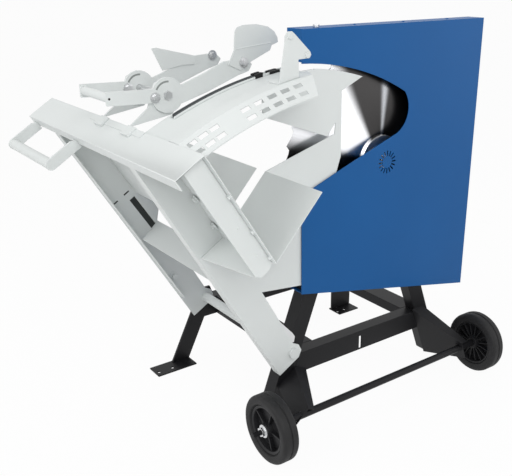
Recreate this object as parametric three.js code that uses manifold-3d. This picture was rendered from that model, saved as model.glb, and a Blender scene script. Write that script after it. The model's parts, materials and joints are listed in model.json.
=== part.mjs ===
// Firewood circular saw with a tilting log cradle, in millimetres, +Z up.
// X is the feed direction, Y runs along the saw arbor away from the cover, Z = 0 is the floor.
import * as THREE from 'three';
import { mergeVertices } from 'three/addons/utils/BufferGeometryUtils.js';
import Module from 'manifold-3d';

const wasm = await Module();
wasm.setup();
const { lerp } = THREE.MathUtils;

// Clearances and shared sheet thicknesses
const gap = 0.3;
const runningGap = 0.6;
const cutOverrun = 2;
const sheet = 3;
const thinSheet = 2;

// Facets of round parts and steps of arcs
const hexFacets = 6;
const holeFacets = 12;
const pinFacets = 16;
const shaftFacets = 20;
const tubeFacets = 24;
const discFacets = 28;
const bodyFacets = 32;
const tyreFacets = 36;
const openingSteps = 12;
const noseSteps = 10;
const capSteps = 5;
const handleSteps = 8;

// Cover and housing
const coverWidth = 690;
const coverRise = 387;
const coverBottomLeft = 403;
const coverBottomRight = 260;
const leftFlangeClearance = 3;
const cutoutClearance = 4;
const cutoutReach = 374;
const cutoutNoseX = 316.5;
const cutoutNoseRise = 149;
const cutoutNoseRadius = 75.6;
const cutoutNoseEnd = THREE.MathUtils.degToRad(153.7);
const cutoutBendX = 146;
const cutoutBendRise = 9;
const cutoutSillDrop = 46;
const backPlateNear = 60;
const ventCount = 16;
const ventInner = 18;
const ventOuter = 34;
const ventWidth = 4;
const coverBoltX = 66;
const coverBoltY = 26;
const coverBoltRadius = 9;
const coverBoltHead = 7;

// Blade and arbor
const arborX = 315;
const arborZ = 743;
const bladeRadius = 350;
const bladeThickness = 3;
const bladeNear = 33.5;
const toothCount = 42;
const toothTipShare = 0.18;
const toothBackShare = 0.8;
const toothDepth = 11;
const flangeRadius = 75;
const outerFlangeThickness = 7;
const innerFlangeThickness = 8;
const arborRadius = 12;
const arborEnd = 12;
const arborNutRadius = 22;
const arborNutThickness = 12;

// Motor
const motorRadius = 84;
const finDepth = 8;
const louvresEachSide = 3;
const finCount = 24;
const motorWall = 8;
const motorLength = 226;
const shieldThickness = 12;
const bearingRadius = 20;
const bearingWidth = 9;
const rotorRadius = 44;
const rotorLength = 150;
const airGap = 2;
const fanRadius = 66;
const fanWidth = 18;
const fanHubRadius = 20;
const fanCoverLength = 52;
const fanBladeCount = 7;

// Switch and inlet
const switchX = 560;
const switchZ = 800;
const switchWidth = 76;
const switchHeight = 130;
const switchDepth = 56;
const buttonRadius = 15;
const buttonTravel = 4;
const buttonLength = 16;
const buttonPitch = 48;
const boreDepth = 11;
const inletRadius = 24;
const inletLength = 40;

// Base frame
const legNear = 14;
const legWidth = 56;
const legLean = 0.382;
const leftLegX = -79;
const legFoot = 32;
const beamBottom = 138;
const leftLegTop = 440;
const rightLegTop = 372;
const legMirrorX = 245;
const legTaper = 0.66;
const beamHeight = 66;
const beamWall = 4;
const beamLeft = 20;
const railWidth = 66;
const rearBeamDepth = 46;
const rearBeamLeft = -62;
const rightRailX = 465;
const rightRailWidth = 70;
const rightRailThickness = 8;
const beamSlotWidth = 8;
const beamSlotHeight = 42;
const beamSlotRise = 6;
const rearLegWidth = 64;
const rearLegThickness = 8;
const rearLegTop = 252;
const rearLegFootX = -137;
const rearLegRightFootX = 588;
const rearLegRightTopX = 590;
const rearLegRightWidth = 92;
const footDepth = 66;
const footThickness = 5;
const footNear = 464;
const footLeftX = -249;
const footLength = 145;
const footRightX = 540;
const footRightLength = 96;
const footHoleRadius = 6;
const footHoleShares = [0.09, 0.44];
const footHoleDepthShare = 0.35;

// Wheels
const axleY = -126;
const axleZ = 100;
const axleRadius = 11;
const wheelRadius = 100;
const wheelWidth = 50;
const rimRadius = 72;
const leftWheelX = -200;
const rightWheelX = 644;
const hubRadius = 21;
const rimRingWidth = 9;
const rimWeb = 4;
const spokeCount = 16;
const spokeWidth = 3;
const spokeDepth = 14;
const axleThreadRadius = 7.5;
const axleThreadLength = 26;
const axleNutRadius = 14;
const axleNutThickness = 12;
const treadGroove = 3;
const bracketTipY = -140;
const bracketTipZ = 124;
const leftRidgeX = -18;
const leftRidgeZ = 168;
const leftInnerX = 26;
const leftInnerZ = 147;
const leftOuterX = -79;
const leftOuterZ = 118;
const leftTipX = -83;
const rightRidgeX = 476;
const rightRidgeZ = 215;
const rightOuterX = 524;
const rightLowX = 545;
const rightLowZ = 34;
const rightTipX = 560;
const leftWebShares = [[0, 0], [1, 0], [0.5, 1], [0, 1]];
const leftSideShares = [[0, 0], [0, 1], [1, 0.76], [1, 0]];
const rightWebShares = [[0, 0], [1, 0], [0.5, 1], [0, 1]];
const rightSideShares = [[0, 0], [1, 0], [0.34, 1], [0, 1]];

// Cradle: the wall's foot line lies at footX, footZ from the pivot
const pivotX = -28;
const pivotZ = 220;
const pivotNutRadius = 14;
const footX = -222;
const footZ = 416;
const wallLean = THREE.MathUtils.degToRad(32);
const wallLength = 334;
const rightWallTilt = THREE.MathUtils.degToRad(16);
const rightWallLength = 200;
const cradleNear = -232;
const cradleFar = 646;
const topPlateWidth = 86;
const lipDepth = 28;
const slotNear = 4;
const slotFar = 45;
const slotClear = 5;
const sidePlateNear = 5;
const armFoldDepth = 34;
const farArmNear = 512;
const farFoldDepth = 24;
const armFootOut = 105;
const armFootDrop = 496;
const pivotTubeRadius = 15;
const pivotBore = 10.5;
const pivotBoltRadius = 10;
const pivotHeadRadius = 16;
const pivotHeadThickness = 8;
const angleSetBack = 17;
const angleWidth = 57;
const angleLeg = 24;
const shelfDrop = 6;
const crossDrop = 128;
const handleNearY = 308;
const handleFarY = 602;
const handleReach = 90;
const handleWidth = 30;
const handleDrop = 21;
const handleFoot = 42;
const handleBarRadius = 14;

// Blade guard on the near side plate, measured from the pivot
const guardFootDrop = 217;
const guardFootX = 46;
const guardFootZ = 208;
const guardEdgeX = 168;
const guardEdgeDrop = 256;
const throatWidth = 26;
const throatDrop = 218;
const throatHeight = 58;
const guardShoulderDrop = 77;
const guardBand = 46;
const guardCapStart = THREE.MathUtils.degToRad(5);
const guardCapEnd = THREE.MathUtils.degToRad(17.2);
const innerGuardStart = THREE.MathUtils.degToRad(-2.3);
const innerGuardEnd = THREE.MathUtils.degToRad(-10.8);
const innerGuardDrop = 118;
const innerGuardLowX = 118;
const innerGuardLowDrop = 194;
const farSlotSetBack = 14;
const farSlotWidth = 20;

// Upper guard: an arched roof from the wall's top to a point above the pivot, with a sloping skirt
const roofArcRadius = 1082;
const roofWallRise = 0.5;
const roofFacets = 144;
const roofOverArbor = 299;
const roofEnd = THREE.MathUtils.degToRad(1);
const roofNear = -120;
const roofFar = 62;
const roofCrease = -74;
const roofStep = 10;
const skirtReach = 45;
const skirtDrop = 38;
const skirtEndX = 49;
const roofSlotWidth = 16;
const roofSlotStart = THREE.MathUtils.degToRad(-24.3);
const roofSlotOverrun = THREE.MathUtils.degToRad(6);
const perforationStartShare = 0.041;
const perforationEndShare = 0.781;
const perforationLength = 24;
const perforationWidth = 11;
const perforationStepShares = [0.02, 0.12, 0.22, 0.5, 0.62, 0.74, 0.86, 0.98];
const perforationRowShares = [0.3, 0.72];
const standY = -110;
const standTopX = 89;
const standTopRise = 85;
const standSideX = 39;
const standSideRise = 40;
const standEar = 15;
const standFootWidth = 40;

// Hold-down clamp
const clampX = -299;
const clampZ = 765;
const clampNearY = 115;
const clampFarY = 270;
const clampDiscRadius = 43;
const clampPlate = 6;
const clampArmWidth = 34;
const clampArmReach = 248;
const clampHandleReach = 158;
const clampFootLength = 30;
const clampBarRadius = 11;
const clampPinRadius = 8;
const clampHeadRadius = 12;

// Outlines of the clamp from its axis: shares of the disc radius, then shares of the arm's reach
const bracketShares = [[0.3, -1.12], [1, 0], [0.7, 0.7], [0, 1], [-0.7, 0.7], [-1, 0], [-1.2, -0.62]];
const armRootShares = [[0.9, 0.5], [0.4, 0.9]];
const armShares = [
  [0.45, -0.01], [0.83, 0.125], [0.955, 0.157], [1, 0.222], [0.93, 0.29], [0.657, 0.274], [0.42, 0.177],
];
const nearClawShares = [
  [0.7, 0.24], [0.85, 0.17], [0.968, 0.246], [1.222, 0.35], [1.246, 0.4], [1.327, 0.427], [1.32, 0.476],
  [1.28, 0.54], [1.2, 0.59], [1.06, 0.62], [0.9, 0.62], [0.82, 0.6], [0.79, 0.56], [0.774, 0.38],
];
const farClawShares = [
  [0.274, 0.149], [0.516, 0.19], [0.657, 0.185], [0.685, 0.274], [0.218, 0.387], [0.161, 0.383],
];

const materials = {
  blueCoat: new THREE.MeshStandardMaterial({ color: 0x235f96, roughness: 0.45, metalness: 0.1 }),
  whiteCoat: new THREE.MeshStandardMaterial({ color: 0xd5d8d6, roughness: 0.5, metalness: 0.1 }),
  blackCoat: new THREE.MeshStandardMaterial({ color: 0x2a2a2c, roughness: 0.55, metalness: 0.1 }),
  bladeSteel: new THREE.MeshStandardMaterial({ color: 0xb9bcc0, roughness: 0.3, metalness: 1 }),
  zincSteel: new THREE.MeshStandardMaterial({ color: 0xc8c9c6, roughness: 0.35, metalness: 1 }),
  tyreRubber: new THREE.MeshStandardMaterial({ color: 0x262626, roughness: 0.8, metalness: 0 }),
  blackPlastic: new THREE.MeshStandardMaterial({ color: 0x202022, roughness: 0.55, metalness: 0 }),
  motorCast: new THREE.MeshStandardMaterial({ color: 0x6c7074, roughness: 0.6, metalness: 0.4 }),
  greenPlastic: new THREE.MeshStandardMaterial({ color: 0x1f8a44, roughness: 0.4, metalness: 0 }),
  redPlastic: new THREE.MeshStandardMaterial({ color: 0xb02024, roughness: 0.4, metalness: 0 }),
};

// Solids
function toSolid(geometry) {
  const plain = geometry.clone();
  plain.deleteAttribute('normal');
  plain.deleteAttribute('uv');
  const merged = mergeVertices(plain);
  const vertProperties = new Float32Array(merged.attributes.position.array);
  const triVerts = new Uint32Array(merged.index.array);
  return new wasm.Manifold(new wasm.Mesh({ numProp: 3, vertProperties, triVerts }));
}

function toGeometry(solid) {
  const mesh = solid.getMesh();
  const geometry = new THREE.BufferGeometry();
  geometry.setAttribute(
    'position', new THREE.BufferAttribute(new Float32Array(mesh.vertProperties), mesh.numProp),
  );
  geometry.setIndex(new THREE.BufferAttribute(new Uint32Array(mesh.triVerts), 1));
  geometry.computeVertexNormals();
  return geometry;
}

function extrude(points, depth, holes = []) {
  const shape = new THREE.Shape(points.map(([a, b]) => new THREE.Vector2(a, b)));
  for (const hole of holes) {
    shape.holes.push(new THREE.Path(hole.map(([a, b]) => new THREE.Vector2(a, b))));
  }
  return new THREE.ExtrudeGeometry(shape, { depth, bevelEnabled: false });
}

// A plate drawn in X and Z, from yNear toward +Y
function plateXZ(points, yNear, thickness, holes = []) {
  const geometry = extrude(points, thickness, holes);
  geometry.rotateX(Math.PI / 2);
  geometry.translate(0, yNear + thickness, 0);
  return toSolid(geometry);
}

// A plate drawn in Y and Z, from xLow toward +X
function plateYZ(points, xLow, thickness) {
  const geometry = extrude(points, thickness);
  const turn = new THREE.Matrix4().makeBasis(
    new THREE.Vector3(0, 1, 0),
    new THREE.Vector3(0, 0, 1),
    new THREE.Vector3(1, 0, 0),
  );
  geometry.applyMatrix4(turn);
  geometry.translate(xLow, 0, 0);
  return toSolid(geometry);
}

// A plate drawn in X and Y, from zLow upward
function plateXY(points, zLow, thickness) {
  const geometry = extrude(points, thickness);
  geometry.translate(0, 0, zLow);
  return toSolid(geometry);
}

function block(xLow, xHigh, yLow, yHigh, zLow, zHigh) {
  const geometry = new THREE.BoxGeometry(xHigh - xLow, yHigh - yLow, zHigh - zLow);
  geometry.translate((xLow + xHigh) / 2, (yLow + yHigh) / 2, (zLow + zHigh) / 2);
  return toSolid(geometry);
}

function rodY(radius, x, z, yLow, yHigh, sides = 20) {
  const geometry = new THREE.CylinderGeometry(radius, radius, yHigh - yLow, sides);
  geometry.translate(x, (yLow + yHigh) / 2, z);
  return toSolid(geometry);
}

function rodX(radius, y, z, xLow, xHigh, sides = 20) {
  const geometry = new THREE.CylinderGeometry(radius, radius, xHigh - xLow, sides);
  geometry.rotateZ(Math.PI / 2);
  geometry.translate((xLow + xHigh) / 2, y, z);
  return toSolid(geometry);
}

function rodZ(radius, x, y, zLow, zHigh, sides = 20) {
  const geometry = new THREE.CylinderGeometry(radius, radius, zHigh - zLow, sides);
  geometry.rotateX(Math.PI / 2);
  geometry.translate(x, y, (zLow + zHigh) / 2);
  return toSolid(geometry);
}

// A turned ring about an axis along Y, with its profile as pairs of radius and y
function turnedY(profile, x, z, sides = 32) {
  const geometry = new THREE.LatheGeometry(profile.map(([r, y]) => new THREE.Vector2(r, y)), sides);
  geometry.translate(x, 0, z);
  return toSolid(geometry);
}

function turnedX(profile, y, z, sides = 32) {
  const geometry = new THREE.LatheGeometry(profile.map(([r, x]) => new THREE.Vector2(r, x)), sides);
  geometry.rotateZ(-Math.PI / 2);
  geometry.translate(0, y, z);
  return toSolid(geometry);
}

function ringProfile(inner, outer, low, high) {
  return [[inner, low], [outer, low], [outer, high], [inner, high], [inner, low]];
}

function circle(x, z, radius, sides = 16) {
  const points = [];
  for (let i = 0; i < sides; i += 1) {
    const angle = (i / sides) * Math.PI * 2;
    points.push([x + radius * Math.cos(angle), z + radius * Math.sin(angle)]);
  }
  return points;
}

function arc(x, z, radius, from, to, steps) {
  const points = [];
  for (let i = 0; i <= steps; i += 1) {
    const angle = from + ((to - from) * i) / steps;
    points.push([x + radius * Math.sin(angle), z + radius * Math.cos(angle)]);
  }
  return points;
}

function union(solids) {
  return solids.reduce((sum, solid) => sum.add(solid));
}

function cut(solid, tools) {
  return tools.reduce((rest, tool) => rest.subtract(tool), solid);
}

const group = new THREE.Group();
const saw = new THREE.Group();
group.add(saw);

function addPart(name, solid, material) {
  const mesh = new THREE.Mesh(toGeometry(solid), material);
  mesh.name = name;
  saw.add(mesh);
}

// The rear legs stand just outside the far arm, with the rear beam behind them
const rearLegNear = farArmNear + sheet + runningGap;
const rearBeamNear = rearLegNear + rearLegThickness + gap;
const rearBeamFar = rearBeamNear + rearBeamDepth;

// Heights that follow the arbor
const coverTop = arborZ + coverRise;
const roofEndRadius = arborZ - pivotZ + roofOverArbor;
const cutoutRadius = roofEndRadius + cutoutClearance;

// Places on the cradle: out is measured from the wall's face toward the blade, up along the wall
const wallFootX = pivotX + footX;
const wallFootZ = pivotZ + footZ;

function onWall(out, up) {
  const cos = Math.cos(wallLean);
  const sin = Math.sin(wallLean);
  return [wallFootX + out * cos - up * sin, wallFootZ + out * sin + up * cos];
}

function onRightWall(along, over) {
  const cos = Math.cos(rightWallTilt);
  const sin = Math.sin(rightWallTilt);
  return onWall(along * cos - over * sin, along * sin + over * cos);
}

function onArc(radius, angle) {
  return [pivotX + radius * Math.sin(angle), pivotZ + radius * Math.cos(angle)];
}

function coverBottomAt(x) {
  return coverBottomLeft + ((coverBottomRight - coverBottomLeft) * x) / coverWidth;
}

// Housing outline with the log opening on its left edge, grown by margin downward
function openingOutline(margin) {
  const start = Math.asin((-margin - pivotX) / cutoutRadius);
  const end = Math.asin((cutoutReach - pivotX) / cutoutRadius);
  const noseZ = arborZ + cutoutNoseRise;
  const [topX, topZ] = onArc(cutoutRadius, end);
  const noseStart = Math.atan2(topX - cutoutNoseX, topZ - noseZ);
  const slope = (cutoutBendRise + cutoutSillDrop) / cutoutBendX;
  return [
    ...arc(pivotX, pivotZ, cutoutRadius, start, end, openingSteps),
    ...arc(cutoutNoseX, noseZ, cutoutNoseRadius, noseStart, cutoutNoseEnd, noseSteps).slice(1),
    [cutoutBendX, arborZ + cutoutBendRise],
    [-margin, arborZ - cutoutSillDrop - margin * slope],
  ];
}

function housingOutline(inset) {
  return [
    [inset, coverBottomAt(inset) + inset],
    [coverWidth - inset, coverBottomAt(coverWidth - inset) + inset],
    [coverWidth - inset, coverTop - inset],
    [inset, coverTop - inset],
  ];
}

function legOutline(mirrored, grow, top) {
  const low = legFoot;
  const lowX = leftLegX - legLean * (beamBottom - low);
  const flip = (x) => (mirrored ? 2 * legMirrorX - x : x);
  const shift = legLean * (top - low);
  const points = [
    [flip(lowX - grow), low - grow],
    [flip(lowX + legWidth + grow), low - grow],
    [flip(lowX + legWidth + grow + shift), top + grow],
    [flip(lowX - grow + shift), top + grow],
  ];
  return mirrored ? points.reverse() : points;
}

function leg(mirrored, top) {
  const outer = plateXZ(legOutline(mirrored, 0, top), legNear, backPlateNear - gap - legNear);
  const hollow = plateXZ(legOutline(mirrored, -beamWall, top), legNear + beamWall, backPlateNear - legNear);
  const bore = rodY(
    pivotTubeRadius + runningGap, pivotX, pivotZ, legNear - cutOverrun, backPlateNear, tubeFacets,
  );
  return mirrored ? cut(outer, [hollow]) : cut(outer, [hollow, bore]);
}

function makeFrame() {
  addPart('leg_front_left', leg(false, leftLegTop), materials.blackCoat);
  addPart('leg_front_right', leg(true, rightLegTop), materials.blackCoat);
  const beamTop = beamBottom + beamHeight;
  const legInset = legLean * beamHeight + legWidth + leftLegX;
  const frontShape = [
    [leftLegX + legWidth + gap, beamBottom],
    [2 * legMirrorX - (leftLegX + legWidth + gap), beamBottom],
    [2 * legMirrorX - (legInset + gap), beamTop],
    [legInset + gap, beamTop],
  ];
  const frontFar = backPlateNear - gap;
  const front = plateXZ(frontShape, legNear, frontFar - legNear);
  const frontHollow = block(
    leftLegX, 2 * legMirrorX - leftLegX,
    legNear + beamWall, frontFar + cutOverrun, beamBottom - cutOverrun, beamTop - beamWall,
  );
  const slot = block(
    legMirrorX - beamSlotWidth / 2, legMirrorX + beamSlotWidth / 2,
    legNear - cutOverrun, legNear + beamWall + cutOverrun,
    beamBottom + beamSlotRise, beamBottom + beamSlotRise + beamSlotHeight,
  );
  addPart('front_beam', cut(front, [frontHollow, slot]), materials.blackCoat);
  const rearRight = rearLegRightTopX + rearLegRightWidth / 2;
  const rear = block(rearBeamLeft, rearRight, rearBeamNear, rearBeamFar, beamBottom, beamTop);
  const rearHollow = block(
    rearBeamLeft - cutOverrun, rearRight + cutOverrun,
    rearBeamNear + beamWall, rearBeamFar + cutOverrun, beamBottom + beamWall, beamTop - beamWall,
  );
  addPart('rear_beam', cut(rear, [rearHollow]), materials.blackCoat);
  const leftRail = block(
    beamLeft, beamLeft + railWidth, backPlateNear, rearBeamNear - gap, beamBottom, beamTop,
  );
  const railHollow = block(
    beamLeft + beamWall, beamLeft + railWidth + cutOverrun,
    backPlateNear - cutOverrun, rearBeamNear + cutOverrun, beamBottom + beamWall, beamTop - beamWall,
  );
  addPart('left_rail', cut(leftRail, [railHollow]), materials.blackCoat);
  const rightRail = block(
    rightRailX, rightRailX + rightRailWidth, backPlateNear, rearBeamNear - gap,
    beamTop - rightRailThickness, beamTop,
  );
  const rightRailRib = block(
    rightRailX, rightRailX + rightRailThickness, backPlateNear, rearBeamNear - gap,
    beamTop - beamHeight / 2, beamTop,
  );
  addPart('right_rail', union([rightRail, rightRailRib]), materials.blackCoat);
  makeRearLegs();
}

function makeRearLegs() {
  const low = footThickness + gap;
  const near = rearLegNear;
  const half = rearLegWidth / 2;
  const rightHalf = rearLegRightWidth / 2;
  const left = plateXZ([
    [rearLegFootX - half, low], [rearLegFootX + half, low],
    [pivotX + half, pivotZ], [pivotX + half * legTaper, rearLegTop],
    [pivotX - half * legTaper, rearLegTop], [pivotX - half, pivotZ],
  ], near, rearLegThickness);
  const bore = rodY(
    pivotBore, pivotX, pivotZ, near - cutOverrun, near + footDepth, tubeFacets,
  );
  addPart('rear_leg_left', cut(left, [bore]), materials.blackCoat);
  const right = plateXZ([
    [rearLegRightFootX - rightHalf, low], [rearLegRightFootX + rightHalf, low],
    [rearLegRightTopX + rightHalf, beamBottom + beamHeight],
    [rearLegRightTopX - rightHalf, beamBottom + beamHeight],
  ], near, rearLegThickness);
  addPart('rear_leg_right', right, materials.blackCoat);
  addPart('foot_plate_left', footPlate(footLeftX, footLength), materials.blackCoat);
  addPart('foot_plate_right', footPlate(footRightX, footRightLength), materials.blackCoat);
}

function footPlate(xLow, length) {
  const plate = block(xLow, xLow + length, footNear, footNear + footDepth, 0, footThickness);
  const holes = footHoleShares.map((share) => rodZ(
    footHoleRadius, xLow + length * share, footNear + footDepth * footHoleDepthShare,
    -cutOverrun, footThickness + cutOverrun, holeFacets,
  ));
  return cut(plate, holes);
}

// A flat panel with corners as shares of two edges that leave one corner
function panel(corner, alongFirst, alongSecond, shares) {
  const origin = new THREE.Vector3(...corner);
  const first = new THREE.Vector3(...alongFirst).sub(origin);
  const second = new THREE.Vector3(...alongSecond).sub(origin);
  const xAxis = first.clone().normalize();
  const zAxis = first.clone().cross(second).normalize();
  const yAxis = zAxis.clone().cross(xAxis);
  const points = shares.map(([u, v]) => {
    const point = first.clone().multiplyScalar(u).addScaledVector(second, v);
    return [point.dot(xAxis), point.dot(yAxis)];
  });
  const geometry = extrude(points, sheet);
  geometry.applyMatrix4(new THREE.Matrix4().makeBasis(xAxis, yAxis, zAxis));
  geometry.translate(origin.x, origin.y, origin.z);
  return toSolid(geometry);
}

// Folded sheet from a front leg forward to the axle: a tapered web and a side that holds the axle
function makeWheelBrackets() {
  const back = legNear - gap;
  const trim = block(leftWheelX, rightWheelX, back, legNear + legWidth, 0, rightRidgeZ * 2);
  const bore = rodX(axleRadius + gap, axleY, axleZ, leftWheelX, rightWheelX, tubeFacets);
  const leftRidge = [leftRidgeX, back, leftRidgeZ];
  const leftTip = [leftTipX, bracketTipY, bracketTipZ];
  const leftWeb = panel(leftRidge, [leftInnerX, back, leftInnerZ], leftTip, leftWebShares);
  const leftSide = panel(leftRidge, leftTip, [leftOuterX, back, leftOuterZ], leftSideShares);
  addPart('wheel_bracket_left', cut(union([leftWeb, leftSide]), [trim, bore]), materials.blackCoat);
  const rightRidge = [rightRidgeX, back, rightRidgeZ];
  const rightTip = [rightTipX, bracketTipY, bracketTipZ];
  const rightWeb = panel(rightRidge, [rightOuterX, back, rightRidgeZ], rightTip, rightWebShares);
  const rightSide = panel(rightRidge, [rightLowX, back, rightLowZ], rightTip, rightSideShares);
  addPart('wheel_bracket_right', cut(union([rightWeb, rightSide]), [trim, bore]), materials.blackCoat);
}

function makeWheels() {
  makeWheelBrackets();
  const half = wheelWidth / 2;
  const shoulderLeft = leftWheelX + half + gap;
  const shoulderRight = rightWheelX - half - gap;
  const bar = rodX(axleRadius, axleY, axleZ, shoulderLeft, shoulderRight, shaftFacets);
  const stubLeft = leftWheelX - half - gap - axleNutThickness - gap - axleThreadLength;
  const stubRight = rightWheelX + half + gap + axleNutThickness + gap + axleThreadLength / 2;
  const stub = rodX(axleThreadRadius, axleY, axleZ, stubLeft, stubRight, pinFacets);
  addPart('axle', union([bar, stub]), materials.blackCoat);
  for (const [side, x, sign] of [['left', leftWheelX, -1], ['right', rightWheelX, 1]]) {
    const nutInner = x + sign * (half + gap);
    const nutOuter = nutInner + sign * axleNutThickness;
    const nut = rodX(
      axleNutRadius, axleY, axleZ, Math.min(nutInner, nutOuter), Math.max(nutInner, nutOuter), hexFacets,
    );
    const washer = rodX(
      axleNutRadius * 1.35, axleY, axleZ,
      Math.min(nutInner, nutInner + (sign * axleNutThickness) / 4),
      Math.max(nutInner, nutInner + (sign * axleNutThickness) / 4), shaftFacets,
    );
    const bore = rodX(axleThreadRadius + gap, axleY, axleZ, x - wheelRadius, x + wheelRadius, pinFacets);
    addPart(`axle_nut_${side}`, cut(union([nut, washer]), [bore]), materials.zincSteel);
    addPart(`tyre_${side}`, tyre(x), materials.tyreRubber);
    addPart(`rim_${side}`, rim(x, sign), materials.blackPlastic);
  }
}

function tyre(x) {
  const half = wheelWidth / 2;
  const crown = wheelRadius - treadGroove;
  const third = half / 3;
  const profile = [
    [rimRadius + gap, x - half * 0.8],
    [crown - treadGroove, x - half],
    [wheelRadius - treadGroove / 3, x - half + third],
    [wheelRadius, x - third],
    [crown, x],
    [wheelRadius, x + third],
    [wheelRadius - treadGroove / 3, x + half - third],
    [crown - treadGroove, x + half],
    [rimRadius + gap, x + half * 0.8],
    [rimRadius + gap, x - half * 0.8],
  ];
  return turnedX(profile, axleY, axleZ, tyreFacets);
}

// Dished rim: a ring, a thin web and radial ribs on both faces
function rim(x, sign) {
  const half = wheelWidth / 2;
  const ring = turnedX(
    ringProfile(rimRadius - rimRingWidth, rimRadius, x - half * 0.8, x + half * 0.8), axleY, axleZ,
    bodyFacets,
  );
  const web = turnedX(
    ringProfile(hubRadius / 2, rimRadius - rimRingWidth / 2, x - rimWeb / 2, x + rimWeb / 2), axleY, axleZ,
    bodyFacets,
  );
  const hub = turnedX(
    ringProfile(axleThreadRadius + gap, hubRadius, x - half, x + half), axleY, axleZ, tubeFacets,
  );
  const spokes = [];
  for (let i = 0; i < spokeCount; i += 1) {
    const spoke = new THREE.BoxGeometry(
      spokeDepth * 2, spokeWidth, rimRadius - rimRingWidth / 2 - hubRadius / 2,
    );
    spoke.translate(0, 0, (rimRadius - rimRingWidth / 2 + hubRadius / 2) / 2);
    spoke.rotateX((i / spokeCount) * Math.PI * 2);
    spoke.translate(x - (sign * spokeDepth) / 3, axleY, axleZ);
    spokes.push(toSolid(spoke));
  }
  const bore = rodX(axleThreadRadius + gap, axleY, axleZ, x - wheelRadius, x + wheelRadius, pinFacets);
  return cut(union([ring, web, hub, ...spokes]), [bore]);
}

function makeHousing() {
  const front = plateXZ(housingOutline(0), 0, thinSheet);
  const depth = backPlateNear - gap;
  const shell = plateXZ(housingOutline(0), 0, depth);
  const inside = plateXZ(housingOutline(thinSheet), thinSheet, depth);
  const openLeft = block(
    -cutOverrun, thinSheet + cutOverrun, thinSheet, depth + cutOverrun,
    coverBottomRight, pivotZ + cutoutRadius + leftFlangeClearance,
  );
  const opening = plateXZ(openingOutline(cutOverrun), -cutOverrun, thinSheet + 2 * cutOverrun);
  const vents = [];
  for (let i = 0; i < ventCount; i += 1) {
    const vent = new THREE.BoxGeometry(ventWidth, thinSheet * 3, ventOuter - ventInner);
    vent.translate(0, 0, (ventOuter + ventInner) / 2);
    vent.rotateY((i / ventCount) * Math.PI * 2);
    vent.translate(arborX, 0, arborZ);
    vents.push(toSolid(vent));
  }
  const notches = [
    plateXZ(legOutline(false, gap * 3, leftLegTop), legNear - gap * 3, depth),
    plateXZ(legOutline(true, gap * 3, rightLegTop), legNear - gap * 3, depth),
  ];
  const tray = union([front, shell.subtract(inside)]);
  addPart('side_cover', cut(tray, [openLeft, opening, ...vents, ...notches]), materials.blueCoat);
  const headLow = coverTop + gap;
  const boltHead = rodZ(coverBoltRadius, coverBoltX, coverBoltY, headLow, headLow + coverBoltHead, hexFacets);
  addPart('cover_bolt', boltHead, materials.zincSteel);
  const backSheet = plateXZ(housingOutline(0), backPlateNear, sheet);
  const backOpening = plateXZ(openingOutline(cutOverrun), backPlateNear - cutOverrun, sheet + 2 * cutOverrun);
  const pilot = rodY(
    flangeRadius / 2, arborX, arborZ, backPlateNear - cutOverrun, backPlateNear + sheet + cutOverrun,
    bodyFacets,
  );
  addPart('housing_back', cut(backSheet, [backOpening, pilot]), materials.blueCoat);
}

function hexagon(radius, yLow, yHigh) {
  return rodY(radius, arborX, arborZ, yLow, yHigh, hexFacets);
}

function makeSpindle() {
  const teeth = [];
  for (let i = 0; i < toothCount; i += 1) {
    const start = (i / toothCount) * Math.PI * 2;
    const tip = start + ((Math.PI * 2) / toothCount) * toothTipShare;
    const back = start + ((Math.PI * 2) / toothCount) * toothBackShare;
    const root = bladeRadius - toothDepth;
    teeth.push([arborX + root * Math.sin(start), arborZ + root * Math.cos(start)]);
    teeth.push([arborX + bladeRadius * Math.sin(tip), arborZ + bladeRadius * Math.cos(tip)]);
    teeth.push([arborX + root * Math.sin(back), arborZ + root * Math.cos(back)]);
  }
  const bore = circle(arborX, arborZ, arborRadius + gap, shaftFacets);
  addPart('blade', plateXZ(teeth, bladeNear, bladeThickness, [bore]), materials.bladeSteel);
  const bladeFar = bladeNear + bladeThickness;
  const innerNear = bladeFar + gap;
  const innerFar = innerNear + innerFlangeThickness;
  const flangeBore = arborRadius + gap;
  addPart(
    'inner_flange', turnedY(ringProfile(flangeBore, flangeRadius, innerNear, innerFar), arborX, arborZ),
    materials.zincSteel,
  );
  const outerFar = bladeNear - gap;
  const outerNear = outerFar - outerFlangeThickness;
  addPart(
    'outer_flange', turnedY(ringProfile(flangeBore, flangeRadius, outerNear, outerFar), arborX, arborZ),
    materials.zincSteel,
  );
  const nutFar = outerNear - gap;
  const nut = hexagon(arborNutRadius, nutFar - arborNutThickness, nutFar);
  const nutBore = rodY(
    flangeBore, arborX, arborZ, nutFar - 2 * arborNutThickness, nutFar + cutOverrun, shaftFacets,
  );
  addPart('arbor_nut', nut.subtract(nutBore), materials.zincSteel);
  const motorNear = backPlateNear + sheet + gap;
  const rotorNear = motorNear + shieldThickness + (motorLength - rotorLength) / 2;
  const shaftFar = motorNear + motorLength + shieldThickness + fanCoverLength * 0.7;
  const shaft = rodY(arborRadius, arborX, arborZ, arborEnd, shaftFar, shaftFacets);
  const rotor = rodY(rotorRadius, arborX, arborZ, rotorNear, rotorNear + rotorLength, discFacets);
  addPart('arbor_shaft', shaft.add(rotor), materials.zincSteel);
}

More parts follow.
